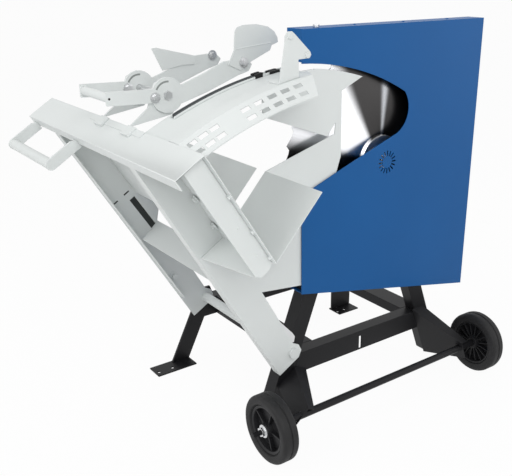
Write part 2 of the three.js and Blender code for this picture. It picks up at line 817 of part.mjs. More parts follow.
function makeMotor() {
  const near = backPlateNear + sheet + gap;
  const outline = [];
  const root = motorRadius - finDepth;
  for (let i = 0; i < finCount; i += 1) {
    for (const [share, radius] of [[0, root], [0.45, root], [0.55, motorRadius], [0.95, motorRadius]]) {
      const angle = ((i + share) / finCount) * Math.PI * 2;
      outline.push([arborX + radius * Math.sin(angle), arborZ + radius * Math.cos(angle)]);
    }
  }
  const bodyNear = near + shieldThickness;
  const bodyFar = near + motorLength;
  const inner = circle(arborX, arborZ, root - motorWall, bodyFacets);
  const shell = plateXZ(outline, bodyNear - cutOverrun, bodyFar - bodyNear + cutOverrun, [inner]);
  const frontShield = turnedY(ringProfile(bearingRadius + gap, motorRadius, near, bodyNear), arborX, arborZ);
  addPart('motor_shell', union([shell, frontShield]), materials.motorCast);
  const shieldNear = bodyFar + gap;
  const shieldFar = shieldNear + shieldThickness;
  const endShield = turnedY(
    ringProfile(bearingRadius + gap, motorRadius, shieldNear, shieldFar), arborX, arborZ,
  );
  addPart('motor_end_shield', endShield, materials.motorCast);
  const seatInner = arborRadius + gap;
  const seats = [['bearing_front', near + gap], ['bearing_rear', shieldNear + gap]];
  for (const [name, seat] of seats) {
    addPart(
      name,
      turnedY(ringProfile(seatInner, bearingRadius, seat, seat + bearingWidth), arborX, arborZ, tubeFacets),
      materials.zincSteel,
    );
  }
  const statorInner = rotorRadius + airGap;
  const statorOuter = root - motorWall - gap;
  const statorNear = bodyNear + (motorLength - rotorLength) / 2;
  addPart(
    'stator',
    turnedY(
      ringProfile(statorInner, statorOuter, statorNear, statorNear + rotorLength), arborX, arborZ, bodyFacets,
    ),
    materials.motorCast,
  );
  const coverNear = shieldFar + gap;
  const coverFar = coverNear + fanCoverLength;
  const cup = turnedY([
    [motorRadius - thinSheet, coverNear], [motorRadius, coverNear],
    [motorRadius, coverFar - finDepth], [motorRadius - finDepth, coverFar],
    [fanHubRadius / 2, coverFar], [fanHubRadius / 2, coverFar - thinSheet],
    [motorRadius - finDepth - thinSheet, coverFar - thinSheet],
    [motorRadius - thinSheet, coverFar - finDepth], [motorRadius - thinSheet, coverNear],
  ], arborX, arborZ);
  const louvres = [];
  for (let i = -louvresEachSide; i <= louvresEachSide; i += 1) {
    const z = arborZ + i * finDepth * 2;
    louvres.push(
      block(
        arborX - motorRadius / 2, arborX + motorRadius / 2, coverFar - 2 * thinSheet, coverFar + cutOverrun,
        z - finDepth / 3, z + finDepth / 3,
      ),
    );
  }
  addPart('motor_fan_cover', cut(cup, louvres), materials.blackPlastic);
  const fanNear = coverNear + finDepth;
  const blades = [];
  for (let i = 0; i < fanBladeCount; i += 1) {
    const blade = new THREE.BoxGeometry(thinSheet, fanWidth, fanRadius - fanHubRadius / 2);
    blade.translate(0, fanNear + fanWidth / 2, (fanRadius + fanHubRadius / 2) / 2);
    blade.rotateY((i / fanBladeCount) * Math.PI * 2);
    blade.translate(arborX, 0, arborZ);
    blades.push(toSolid(blade));
  }
  const hub = rodY(fanHubRadius, arborX, arborZ, fanNear, fanNear + fanWidth, shaftFacets);
  const fanBore = rodY(
    seatInner, arborX, arborZ, fanNear - cutOverrun, fanNear + fanWidth + cutOverrun, shaftFacets,
  );
  addPart('motor_fan', cut(union([hub, ...blades]), [fanBore]), materials.blackPlastic);
}

function makeSwitch() {
  const near = backPlateNear + sheet + gap;
  const far = near + switchDepth;
  const xLow = switchX - switchWidth / 2;
  const zLow = switchZ - switchHeight / 2;
  const body = block(xLow, xLow + switchWidth, near, far, zLow, zLow + switchHeight);
  const bores = [-1, 1].map((side) => {
    const z = switchZ + (side * buttonPitch) / 2;
    return rodY(buttonRadius + runningGap, switchX, z, far - boreDepth, far + cutOverrun, tubeFacets);
  });
  addPart('switch_box', cut(body, bores), materials.blackPlastic);
  const buttons = [['start_button', 1, materials.greenPlastic], ['stop_button', -1, materials.redPlastic]];
  for (const [name, side, material] of buttons) {
    const low = far - boreDepth + buttonTravel + gap;
    addPart(
      name,
      rodY(buttonRadius, switchX, switchZ + (side * buttonPitch) / 2, low, low + buttonLength, tubeFacets),
      material,
    );
  }
  const socketHigh = zLow - gap;
  const socket = rodZ(
    inletRadius, switchX, near + switchDepth / 2, socketHigh - inletLength, socketHigh, tubeFacets,
  );
  const hollow = rodZ(
    inletRadius - sheet, switchX, near + switchDepth / 2, socketHigh - inletLength - cutOverrun,
    socketHigh - inletLength / 3, tubeFacets,
  );
  addPart('power_inlet', socket.subtract(hollow), materials.blackPlastic);
}

// Trough: one folded sheet with the sloping wall, the lower wall, the top plate and its lip
function trough() {
  const length = cradleFar - cradleNear;
  const wall = plateXZ(
    [onWall(-sheet, -sheet), onWall(0, 0), onWall(0, wallLength), onWall(-sheet, wallLength)], cradleNear,
    length,
  );
  const lower = plateXZ([
    onWall(-sheet, -sheet), onRightWall(rightWallLength, -sheet),
    onRightWall(rightWallLength, 0), onWall(0, 0),
  ], cradleNear, length);
  const top = plateXZ([
    onWall(-topPlateWidth, wallLength - sheet), onWall(0, wallLength - sheet),
    onWall(0, wallLength), onWall(-topPlateWidth, wallLength),
  ], cradleNear, length);
  const lip = plateXZ([
    onWall(-topPlateWidth, wallLength - lipDepth), onWall(sheet - topPlateWidth, wallLength - lipDepth),
    onWall(sheet - topPlateWidth, wallLength), onWall(-topPlateWidth, wallLength),
  ], cradleNear, length);
  const slot = plateXZ([
    onWall(slotClear, -sheet * 4), onRightWall(rightWallLength + cutOverrun, -sheet * 4),
    onRightWall(rightWallLength + cutOverrun, sheet * 4), onWall(slotClear, sheet * 4),
  ], slotNear, slotFar - slotNear);
  return cut(union([wall, lower, top, lip]), [slot]);
}

// The arm strip runs from under the top plate down to the pivot
function armStrip(footOut) {
  return [
    onWall(-sheet - gap, wallLength - sheet - gap),
    onWall(sheet * 2 - topPlateWidth, wallLength - sheet - gap),
    onWall(-footOut, -armFootDrop),
    [pivotX + pivotHeadRadius * 1.3, pivotZ - pivotHeadRadius * 1.3],
    [pivotX + pivotHeadRadius * 1.9, pivotZ],
    [pivotX + pivotHeadRadius * 1.3, pivotZ + pivotHeadRadius * 1.3],
    [pivotX, pivotZ + pivotHeadRadius * 2],
    onWall(-sheet - gap, -wallLength * 0.68),
  ];
}

function foldAlong(from, to, yLow, depth) {
  const dx = to[0] - from[0];
  const dz = to[1] - from[1];
  const long = Math.hypot(dx, dz);
  const inX = (dz / long) * sheet;
  const inZ = (-dx / long) * sheet;
  const points = [from, to, [to[0] + inX, to[1] + inZ], [from[0] + inX, from[1] + inZ]];
  return plateXZ(points, yLow, depth);
}

function sidePlate() {
  const strip = plateXZ(armStrip(armFootOut), sidePlateNear, sheet);
  const stripOverlap = -sheet * 4;
  const edgeX = pivotX + guardEdgeX;
  const throatLeft = edgeX - throatWidth;
  const guardTopZ = pivotZ + roofEndRadius;
  const throatZ = guardTopZ - throatDrop;
  const lowerGuard = plateXZ([
    onWall(stripOverlap, -guardFootDrop),
    [pivotX + guardFootX, pivotZ + guardFootZ],
    [edgeX, guardTopZ - guardEdgeDrop],
    [edgeX, throatZ + throatWidth],
    [throatLeft, throatZ + throatWidth],
    onRightWall(rightWallLength, -sheet - gap),
    onRightWall(slotClear, -sheet - gap),
    onWall(stripOverlap, -sheet * 2),
  ], sidePlateNear, sheet);
  const capRadius = roofEndRadius - sheet * 3;
  const upperGuard = plateXZ([
    [throatLeft, throatZ],
    [edgeX, throatZ],
    [edgeX, guardTopZ - guardShoulderDrop],
    ...arc(pivotX, pivotZ, capRadius, guardCapEnd, guardCapStart, capSteps),
    onArc(capRadius - guardBand, guardCapStart),
    [throatLeft + sheet * 2, throatZ + throatHeight],
  ], sidePlateNear, sheet);
  const underRoof = arc(
    roofCentreX, roofCentreZ, roofArcRadius - roofStep - sheet * 2, innerGuardStart, innerGuardEnd, capSteps,
  );
  const innerGuard = plateXZ([
    [throatLeft + sheet * 2, throatZ + throatHeight],
    onArc(capRadius - sheet, guardCapStart),
    ...underRoof,
    [underRoof[capSteps][0], guardTopZ - innerGuardDrop],
    [pivotX + innerGuardLowX, guardTopZ - innerGuardLowDrop],
  ], sidePlateNear, sheet);
  const foldFrom = onWall(-armFootOut, -armFootDrop);
  const foldTo = onWall(sheet * 2 - topPlateWidth, wallLength - sheet * 3);
  const fold = foldAlong(foldFrom, foldTo, sidePlateNear, armFoldDepth);
  const bore = rodY(
    pivotBore, pivotX, pivotZ, sidePlateNear - cutOverrun, sidePlateNear + sheet + cutOverrun, shaftFacets,
  );
  return cut(union([strip, lowerGuard, upperGuard, innerGuard, fold]), [bore]);
}

function farArm() {
  const strip = plateXZ(armStrip(armFootOut), farArmNear, sheet);
  const gusset = plateXZ([
    onWall(-sheet * 4, -sheet * 2), onWall(-sheet * 4, -wallLength * 0.4),
    onRightWall(rightWallLength * 0.8, -sheet - gap), onRightWall(0, -sheet * 2),
  ], farArmNear, sheet);
  const flangeFrom = onWall(-armFootOut + sheet * 3, -wallLength * 1.2);
  const flangeTo = onWall(sheet * 2 - topPlateWidth, wallLength - sheet * 3);
  const fold = foldAlong(flangeFrom, flangeTo, farArmNear - farFoldDepth, farFoldDepth + sheet);
  const slot = plateXZ([
    onWall(-farSlotSetBack - farSlotWidth, -wallLength * 0.4), onWall(-farSlotSetBack, -wallLength * 0.4),
    onWall(-farSlotSetBack, -sheet * 3), onWall(-farSlotSetBack - farSlotWidth, -sheet * 3),
  ], farArmNear - cutOverrun, sheet + 2 * cutOverrun);
  const bore = rodY(
    pivotBore, pivotX, pivotZ, farArmNear - cutOverrun, farArmNear + sheet + cutOverrun, shaftFacets,
  );
  return cut(union([strip, gusset, fold]), [slot, bore]);
}

function makeCradle() {
  addPart('trough', trough(), materials.whiteCoat);
  addPart('near_side_plate', sidePlate(), materials.whiteCoat);
  addPart('far_arm', farArm(), materials.whiteCoat);
  const angleNear = cradleNear + angleSetBack;
  const endFlange = plateXZ([
    onWall(-sheet - gap, -sheet), onWall(-sheet - gap, wallLength - sheet - gap),
    onWall(-angleWidth, wallLength - sheet - gap), onWall(-angleWidth, 0),
    onWall(-angleWidth * 0.8, -angleWidth * 0.25), onWall(-angleWidth * 0.35, -angleWidth * 0.25),
  ], angleNear, sheet);
  const backFlange = plateXZ([
    onWall(-sheet - gap, 0), onWall(-sheet - gap, wallLength - sheet - gap),
    onWall(-2 * sheet - gap, wallLength - sheet - gap), onWall(-2 * sheet - gap, 0),
  ], angleNear, angleLeg);
  addPart('end_angle', union([endFlange, backFlange]), materials.whiteCoat);
  makeShelves(angleNear);
  const tubeNear = sidePlateNear + sheet + gap;
  const tube = rodY(pivotTubeRadius, pivotX, pivotZ, tubeNear, farArmNear - gap, tubeFacets);
  const tubeBore = rodY(
    pivotBore, pivotX, pivotZ, tubeNear - cutOverrun, farArmNear + cutOverrun, shaftFacets,
  );
  addPart('pivot_tube', tube.subtract(tubeBore), materials.whiteCoat);
  const headFar = sidePlateNear - gap;
  const shaft = rodY(
    pivotBoltRadius, pivotX, pivotZ, headFar - sheet, rearBeamNear + pivotHeadThickness,
    shaftFacets,
  );
  const head = rodY(pivotHeadRadius, pivotX, pivotZ, headFar - pivotHeadThickness, headFar, shaftFacets);
  const nutNear = rearBeamNear;
  const nut = rodY(pivotNutRadius, pivotX, pivotZ, nutNear, nutNear + pivotHeadThickness, hexFacets);
  addPart('pivot_bolt', union([shaft, head, nut]), materials.whiteCoat);
  makePushHandle();
}

function slabOnWall(up, outline) {
  const slab = extrude(outline, sheet);
  slab.translate(0, 0, up);
  const turn = new THREE.Matrix4().makeRotationY(-wallLean);
  slab.applyMatrix4(turn);
  slab.translate(wallFootX, 0, wallFootZ);
  return toSolid(slab);
}

function makeShelves(angleNear) {
  const behindWall = -sheet - gap;
  const outer = sheet + gap - topPlateWidth;
  const shelf = slabOnWall(-shelfDrop, [
    [behindWall, sidePlateNear - gap],
    [outer, sidePlateNear - gap], [-angleWidth, angleNear + sheet + gap], [behindWall, angleNear + sheet + gap],
  ].reverse());
  addPart('overhang_shelf', shelf, materials.whiteCoat);
  const cross = slabOnWall(-crossDrop, [
    [outer, sidePlateNear + armFoldDepth + gap], [behindWall, sidePlateNear + sheet + gap],
    [behindWall, farArmNear - gap], [outer, farArmNear - farFoldDepth - gap],
  ]);
  addPart('cross_plate', cross, materials.whiteCoat);
}

function makePushHandle() {
  const base = -topPlateWidth - gap;
  const tip = base - handleReach;
  const mid = wallLength - handleDrop;
  const half = handleWidth / 2;
  for (const [name, y] of [['handle_arm_near', handleNearY], ['handle_arm_far', handleFarY]]) {
    const outline = [onWall(base, mid - half), onWall(base, mid + half / 3), onWall(base - half, mid + half)];
    for (let i = 0; i <= handleSteps; i += 1) {
      const angle = (i / handleSteps) * Math.PI;
      outline.push(onWall(tip - half * Math.sin(angle), mid + half * Math.cos(angle)));
    }
    const arm = plateXZ(outline, y, sheet * 2);
    const foot = plateXZ([
      onWall(base, mid - half), onWall(base, mid + half / 3),
      onWall(base - sheet, mid + half / 3), onWall(base - sheet, mid - half),
    ], y, handleWidth);
    addPart(name, union([arm, foot]), materials.whiteCoat);
  }
  const [barX, barZ] = onWall(tip, mid);
  const bar = rodY(handleBarRadius, barX, barZ, handleNearY + sheet * 2 + gap, handleFarY - gap, shaftFacets);
  addPart('handle_bar', bar, materials.whiteCoat);
}

// Guard roof
const [roofLeftX, roofLeftZ] = onWall(gap, wallLength + roofWallRise);
const [roofRightX, roofRightZ] = onArc(roofEndRadius, roofEnd);
const roofHalfX = (roofRightX - roofLeftX) / 2;
const roofHalfZ = (roofRightZ - roofLeftZ) / 2;
const roofFlatness = Math.sqrt(roofArcRadius ** 2 / (roofHalfX ** 2 + roofHalfZ ** 2) - 1);
const roofCentreX = roofLeftX + roofHalfX + roofHalfZ * roofFlatness;
const roofCentreZ = roofLeftZ + roofHalfZ - roofHalfX * roofFlatness;
const roofLeftAngle = Math.atan2(roofLeftX - roofCentreX, roofLeftZ - roofCentreZ);
const roofRightAngle = Math.atan2(roofRightX - roofCentreX, roofRightZ - roofCentreZ);

function roofRing(low, high, yNear, yFar) {
  const profile = ringProfile(roofArcRadius + low, roofArcRadius + high, yNear, yFar);
  return turnedY(profile, roofCentreX, roofCentreZ, roofFacets);
}

function sector(from, to, yNear, yFar) {
  const low = roofEndRadius - skirtDrop * 4;
  const high = roofEndRadius + skirtDrop * 4;
  return plateXZ([onArc(low, from), onArc(low, to), onArc(high, to), onArc(high, from)], yNear, yFar - yNear);
}

function guardRoof() {
  const skirtNear = roofNear - skirtReach;
  const inner = roofArcRadius - roofStep;
  const ring = turnedY([
    [roofArcRadius - skirtDrop - sheet, skirtNear], [roofArcRadius - skirtDrop, skirtNear],
    [roofArcRadius, roofNear], [roofArcRadius, roofCrease],
    [inner, roofCrease + roofStep], [inner, roofFar],
    [inner - sheet, roofFar], [inner - sheet, roofCrease + roofStep],
    [roofArcRadius - sheet, roofCrease], [roofArcRadius - sheet, roofNear],
    [roofArcRadius - skirtDrop - sheet, skirtNear],
  ], roofCentreX, roofCentreZ, roofFacets);
  const reach = skirtDrop * 3;
  const kept = plateXZ([
    onWall(gap, wallLength - reach), onArc(roofEndRadius - reach, roofEnd),
    onArc(roofEndRadius + reach, roofEnd), onWall(gap, wallLength + reach),
  ], skirtNear - cutOverrun, roofFar - skirtNear + 2 * cutOverrun);
  const bladeMiddle = bladeNear + bladeThickness / 2;
  const slot = sector(
    roofSlotStart, roofEnd + roofSlotOverrun, bladeMiddle - roofSlotWidth / 2,
    bladeMiddle + roofSlotWidth / 2,
  );
  const holes = [];
  const firstAngle = lerp(roofLeftAngle, roofRightAngle, perforationStartShare);
  const lastAngle = lerp(roofLeftAngle, roofRightAngle, perforationEndShare);
  for (const rowShare of perforationRowShares) {
    for (const share of perforationStepShares) {
      const angle = lerp(firstAngle, lastAngle, share);
      const hole = new THREE.BoxGeometry(perforationLength, perforationWidth, skirtDrop);
      hole.rotateX(Math.atan2(skirtDrop, skirtReach));
      hole.translate(0, roofNear - skirtReach * rowShare, roofArcRadius - skirtDrop * rowShare);
      hole.rotateY(angle);
      hole.translate(roofCentreX, 0, roofCentreZ);
      holes.push(toSolid(hole));
    }
  }
  const endX = onArc(roofEndRadius, roofEnd)[0] + cutOverrun;
  const trim = plateXY([
    [endX + reach, skirtNear - cutOverrun], [endX + reach, 0],
    [endX, 0], [pivotX - skirtEndX, skirtNear - cutOverrun],
  ], pivotZ + roofEndRadius - reach, 2 * reach);
  return cut(ring.intersect(kept), [slot, ...holes, trim]);
}

function makeUpperGuard() {
  addPart('guard_roof', guardRoof(), materials.whiteCoat);
  const topX = pivotX - standTopX;
  const topZ = pivotZ + roofEndRadius + standTopRise;
  const sideX = pivotX - standSideX;
  const sideZ = pivotZ + roofEndRadius + standSideRise;
  const under = pivotZ + roofEndRadius - standFootWidth;
  const plate = plateXZ([
    [topX - standEar * 2.4, under], [topX + standEar * 1.8, under],
    [topX + standEar * 1.6, sideZ - standEar * 0.6], [sideX + standEar * 0.5, sideZ - standEar * 0.5],
    [sideX + standEar * 0.8, sideZ], [sideX + standEar * 0.6, sideZ + standEar * 0.5],
    [topX + standEar * 0.9, topZ + standEar * 0.3], [topX + standEar * 0.4, topZ + standEar * 0.7],
    [topX - standEar * 0.4, topZ + standEar * 0.7], [topX - standEar, topZ], [topX - standEar, topZ - standEar],
  ], standY, sheet);
  const shoe = roofRing(gap, gap + sheet, standY, standY + standFootWidth);
  const shoeSpan = plateXZ([
    [topX - standEar * 2.4, under], [topX + standEar * 1.8, under],
    [topX + standEar * 1.8, sideZ], [topX - standEar * 2.4, sideZ],
  ], standY - cutOverrun, standFootWidth + 2 * cutOverrun);
  const bolts = [[topX, topZ], [sideX, sideZ]].map(([x, z]) => rodY(
    pivotHeadThickness, x, z, standY - pivotHeadThickness / 2, standY + pivotHeadThickness, hexFacets,
  ));
  const keepOut = roofRing(-standFootWidth * 3, gap, standY - standFootWidth, standY + 2 * standFootWidth);
  const stand = union([plate.subtract(keepOut), shoe.intersect(shoeSpan), ...bolts]);
  addPart('stand_bracket', stand, materials.whiteCoat);
}

// Hold-down clamp on two brackets behind the roof
const clampAxisX = pivotX + clampX;
const clampAxisZ = pivotZ + clampZ;

function fromClampAxis(size, shares) {
  return shares.map(([u, v]) => [clampAxisX + size * u, clampAxisZ + size * v]);
}

function clampBore(y) {
  const bore = clampPinRadius + gap;
  return rodY(bore, clampAxisX, clampAxisZ, y - cutOverrun, y + clampPlate + cutOverrun, pinFacets);
}

function clampBracket(y) {
  const base = wallLength + gap;
  const outer = onWall(-clampFootLength, base);
  const inner = onWall(-gap, base);
  const plate = plateXZ([outer, inner, ...fromClampAxis(clampDiscRadius, bracketShares)], y, clampPlate);
  const foot = plateXZ([
    outer, inner, onWall(-gap, base + clampPlate), onWall(-clampFootLength, base + clampPlate),
  ], y + clampPlate - handleFoot, handleFoot);
  return cut(union([plate, foot]), [clampBore(y)]);
}

function clampArm(y) {
  const half = clampArmWidth / 2;
  const disc = rodY(clampDiscRadius, clampAxisX, clampAxisZ, y, y + clampPlate, discFacets);
  const arm = plateXZ([
    [clampAxisX, clampAxisZ - half * 2],
    ...fromClampAxis(clampArmReach, armShares),
    ...fromClampAxis(clampDiscRadius, armRootShares),
  ], y, clampPlate);
  const grip = plateXZ([
    [clampAxisX - clampHandleReach, clampAxisZ - half * 0.6], [clampAxisX, clampAxisZ - half],
    [clampAxisX, clampAxisZ + half], [clampAxisX - clampHandleReach, clampAxisZ + half * 1.3],
  ], y, clampPlate);
  return cut(union([disc, arm, grip]), [clampBore(y)]);
}

function makeClamp() {
  const armNearY = clampNearY - clampPlate - gap;
  const armFarY = clampFarY - clampPlate - gap;
  addPart('clamp_bracket_near', clampBracket(clampNearY), materials.whiteCoat);
  addPart('clamp_bracket_far', clampBracket(clampFarY), materials.whiteCoat);
  addPart('clamp_arm_near', clampArm(armNearY), materials.whiteCoat);
  addPart('clamp_arm_far', clampArm(armFarY), materials.whiteCoat);
  const headWidth = pivotHeadThickness / 2;
  const headPlaces = [armNearY - gap - headWidth, clampFarY + clampPlate + gap];
  const pinFar = clampFarY + clampPlate + gap + headWidth;
  const pin = rodY(clampPinRadius, clampAxisX, clampAxisZ, headPlaces[0], pinFar, pinFacets);
  const heads = headPlaces.map(
    (y) => rodY(clampHeadRadius, clampAxisX, clampAxisZ, y, y + headWidth, hexFacets),
  );
  addPart('clamp_pin', union([pin, ...heads]), materials.whiteCoat);
  const barX = clampAxisX - clampHandleReach + clampBarRadius;
  const barZ = clampAxisZ + clampArmWidth * 0.17;
  const bar = rodY(clampBarRadius, barX, barZ, armNearY + clampPlate + gap, armFarY - gap, shaftFacets);
  addPart('clamp_grip_bar', bar, materials.whiteCoat);
  const clawPlate = clampPlate / 2;
  const nearClaw = plateXZ(
    fromClampAxis(clampArmReach, nearClawShares), armNearY - gap - clawPlate, clawPlate,
  );
  addPart('claw_near', nearClaw, materials.whiteCoat);
  const farClaw = plateXZ(fromClampAxis(clampArmReach, farClawShares), armFarY - gap - clawPlate, clawPlate);
  addPart('claw_far', farClaw, materials.whiteCoat);
}

makeFrame();
makeWheels();
makeHousing();
makeSpindle();
makeMotor();
makeSwitch();
makeCradle();
makeUpperGuard();
makeClamp();

// The origin is the middle of the saw's footprint on the floor
const bounds = new THREE.Box3().setFromObject(saw);
saw.position.set(-(bounds.min.x + bounds.max.x) / 2, -(bounds.min.y + bounds.max.y) / 2, -bounds.min.z);

export default group;
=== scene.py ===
import math

import bmesh
import bpy
from mathutils import Matrix, Vector
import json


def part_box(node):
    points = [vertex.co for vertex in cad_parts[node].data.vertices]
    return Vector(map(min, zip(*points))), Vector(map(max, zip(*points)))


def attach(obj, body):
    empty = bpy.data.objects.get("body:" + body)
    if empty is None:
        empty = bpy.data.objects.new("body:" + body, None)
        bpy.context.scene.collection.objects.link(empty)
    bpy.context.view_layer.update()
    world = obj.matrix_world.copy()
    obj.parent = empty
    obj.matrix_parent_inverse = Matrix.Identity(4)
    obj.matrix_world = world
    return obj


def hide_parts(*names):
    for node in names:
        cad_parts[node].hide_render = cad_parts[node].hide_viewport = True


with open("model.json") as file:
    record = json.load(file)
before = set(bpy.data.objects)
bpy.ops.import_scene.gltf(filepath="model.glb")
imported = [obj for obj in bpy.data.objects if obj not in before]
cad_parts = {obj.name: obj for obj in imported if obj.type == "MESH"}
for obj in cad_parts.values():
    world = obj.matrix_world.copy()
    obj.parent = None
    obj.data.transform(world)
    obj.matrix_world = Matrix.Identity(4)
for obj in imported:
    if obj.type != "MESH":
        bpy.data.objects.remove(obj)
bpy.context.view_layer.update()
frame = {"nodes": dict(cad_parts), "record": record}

record = frame["record"]
bodyOf = {node: body for body, nodes in record["behaviour"]["bodies"].items() for node in nodes}
slotOf = {entry["node"]: entry["material_slot"] for entry in record["subparts"]}
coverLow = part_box("side_cover")[0]


def mm(length):
    return length / 1000


def at(x, y, z):
    # millimetres from the cover's left edge, its front face and the floor
    return Vector((coverLow.x + mm(x), coverLow.y + mm(y), mm(z)))


# colour and node helpers
colourA, colourB, colourResult = 6, 7, 2  # a Mix node's sockets when it mixes colours


def tone(hexValue):
    # an sRGB hex value turned to linear
    parts = [int(hexValue[i:i + 2], 16) / 255 for i in (0, 2, 4)]
    return [c / 12.92 if c <= 0.04045 else ((c + 0.055) / 1.055) ** 2.4 for c in parts] + [1]


def addNode(tree, kind, settings=None, links=None):
    # settings are sockets or properties of the node, and links are the sockets that other nodes feed
    node = tree.nodes.new(kind)
    for key, value in (settings or {}).items():
        if isinstance(key, int) or key in node.inputs:
            node.inputs[key].default_value = value
        else:
            setattr(node, key, value)
    for key, source in (links or {}).items():
        tree.links.new(source, node.inputs[key])
    return node


def newMaterial(name):
    material = bpy.data.materials.new(name)
    material.use_nodes = True
    material.node_tree.nodes.clear()
    return material, material.node_tree


# materials, each named for the real finish
powder = {"peelMm": 2.2, "peelDepthMm": 0.05, "peelStrength": 0.35, "peelDetail": 2,
          "cloudMm": 260, "cloudDetail": 3, "ior": 1.5, "gloss": 0.18}


def powderCoat(name, colour, shade, roughness):
    # baked powder: an even colour, a soft gloss and a faint orange peel
    material, tree = newMaterial(name)
    point = addNode(tree, "ShaderNodeTexCoord").outputs["Object"]
    peel = addNode(tree, "ShaderNodeTexNoise",
                   {"Scale": 1 / mm(powder["peelMm"]), "Detail": powder["peelDetail"]}, {"Vector": point})
    cloud = addNode(tree, "ShaderNodeTexNoise",
                    {"Scale": 1 / mm(powder["cloudMm"]), "Detail": powder["cloudDetail"]}, {"Vector": point})
    mix = addNode(tree, "ShaderNodeMix", {"data_type": "RGBA", colourA: tone(shade), colourB: tone(colour)},
                  {"Factor": cloud.outputs["Fac"]})
    bump = addNode(tree, "ShaderNodeBump",
                   {"Strength": powder["peelStrength"], "Distance": mm(powder["peelDepthMm"])},
                   {"Height": peel.outputs["Fac"]})
    shader = addNode(tree, "ShaderNodeBsdfPrincipled",
                     {"Roughness": roughness, "IOR": powder["ior"], "Specular IOR Level": powder["gloss"]},
                     {"Base Color": mix.outputs[colourResult], "Normal": bump.outputs["Normal"]})
    addNode(tree, "ShaderNodeOutputMaterial", {}, {"Surface": shader.outputs[0]})
    return material


zinc = {"spangleMm": 6, "detail": 4, "smoother": 0.06, "rougher": 0.1}


def zincPlate(name, colour, roughness):
    # bright zinc on turned or pressed steel: pale metal with fine cloudy spangle
    material, tree = newMaterial(name)
    point = addNode(tree, "ShaderNodeTexCoord").outputs["Object"]
    spangle = addNode(tree, "ShaderNodeTexNoise",
                      {"Scale": 1 / mm(zinc["spangleMm"]), "Detail": zinc["detail"]}, {"Vector": point})
    rough = addNode(tree, "ShaderNodeMapRange",
                    {"To Min": roughness - zinc["smoother"], "To Max": roughness + zinc["rougher"]},
                    {"Value": spangle.outputs["Fac"]})
    shader = addNode(tree, "ShaderNodeBsdfPrincipled", {"Base Color": tone(colour), "Metallic": 1},
                     {"Roughness": rough.outputs["Result"]})
    addNode(tree, "ShaderNodeOutputMaterial", {}, {"Surface": shader.outputs[0]})
    return material


# the bands of painted highlight and painted shade are places around the blade as shares of a turn, each with
# its tone
bladeFinishAndPaintedSheen = {
    "lineMm": 1.6, "lineDepthMm": 0.02, "lineStrength": 0.25, "roughness": 0.24, "anisotropic": 0.7,
    # the dark and mid tones are painted shade, the glint and light tones are painted highlights
    "dark": "3f3e3e", "mid": "66676a", "glint": "a9abaf", "light": "f1f2f5",
    "paintedBandShares": [
        (0.0, "dark"), (0.1, "mid"), (0.22, "dark"), (0.242, "mid"), (0.265, "dark"), (0.32, "dark"),
        (0.35, "light"), (0.435, "light"), (0.465, "dark"), (0.6, "mid"), (0.68, "dark"), (0.726, "dark"),
        (0.742, "glint"), (0.757, "dark"), (0.82, "dark"), (0.85, "light"), (0.94, "light"), (0.968, "dark"),
    ],
}


def groundBladeWithPaintedSheen(name, centre):
    # saw steel ground on a turning table: circular lines, drawn coarser than a grinding wheel leaves them,
    # so that they show, and radial bands of painted highlight and painted shade set in the base colour by
    # the angle around the blade
    material, tree = newMaterial(name)
    point = addNode(tree, "ShaderNodeTexCoord").outputs["Object"]
    moved = addNode(tree, "ShaderNodeVectorMath", {"operation": "SUBTRACT", 1: centre}, {0: point})
    axes = addNode(tree, "ShaderNodeSeparateXYZ", {}, {"Vector": moved.outputs["Vector"]})
    angle = addNode(tree, "ShaderNodeMath", {"operation": "ARCTAN2"},
                    {0: axes.outputs["Z"], 1: axes.outputs["X"]})
    share = addNode(tree, "ShaderNodeMapRange", {"From Min": -math.pi, "From Max": math.pi},
                    {"Value": angle.outputs["Value"]})
    # painted highlight and shade: a ramp of tones by the angle around the blade's middle, in the base colour
    bands = addNode(tree, "ShaderNodeValToRGB", {}, {"Fac": share.outputs["Result"]})
    ramp = bands.color_ramp
    ramp.interpolation = "EASE"
    while len(ramp.elements) < len(bladeFinishAndPaintedSheen["paintedBandShares"]):
        ramp.elements.new(0.5)
    for element, (place, key) in zip(ramp.elements, bladeFinishAndPaintedSheen["paintedBandShares"]):
        element.position = place
        element.color = tone(bladeFinishAndPaintedSheen[key])
    flat = addNode(tree, "ShaderNodeCombineXYZ", {}, {"X": axes.outputs["X"], "Y": axes.outputs["Z"]})
    radius = addNode(tree, "ShaderNodeVectorMath", {"operation": "LENGTH"}, {0: flat.outputs["Vector"]})
    line = addNode(tree, "ShaderNodeMath",
                   {"operation": "MULTIPLY", 1: 2 * math.pi / mm(bladeFinishAndPaintedSheen["lineMm"])},
                   {0: radius.outputs["Value"]})
    wave = addNode(tree, "ShaderNodeMath", {"operation": "SINE"}, {0: line.outputs["Value"]})
    bump = addNode(tree, "ShaderNodeBump",
                   {"Strength": bladeFinishAndPaintedSheen["lineStrength"], "Distance": mm(bladeFinishAndPaintedSheen["lineDepthMm"])},
                   {"Height": wave.outputs["Value"]})
    tangent = addNode(tree, "ShaderNodeTangent", {"direction_type": "RADIAL", "axis": "Y"})
    shader = addNode(tree, "ShaderNodeBsdfPrincipled",
                     {"Metallic": 1, "Roughness": bladeFinishAndPaintedSheen["roughness"],
                      "Anisotropic": bladeFinishAndPaintedSheen["anisotropic"]},
                     {"Base Color": bands.outputs["Color"], "Normal": bump.outputs["Normal"],
                      "Tangent": tangent.outputs["Tangent"]})
    addNode(tree, "ShaderNodeOutputMaterial", {}, {"Surface": shader.outputs[0]})
    return material


rubber = {"clean": "151516", "dusty": "242425", "dustMm": 14, "dustDetail": 6,
          "grainMm": 1.2, "grainDetail": 2, "grainDepthMm": 0.15, "grainStrength": 0.4,
          "roughness": 0.62, "ior": 1.5, "gloss": 0.3}


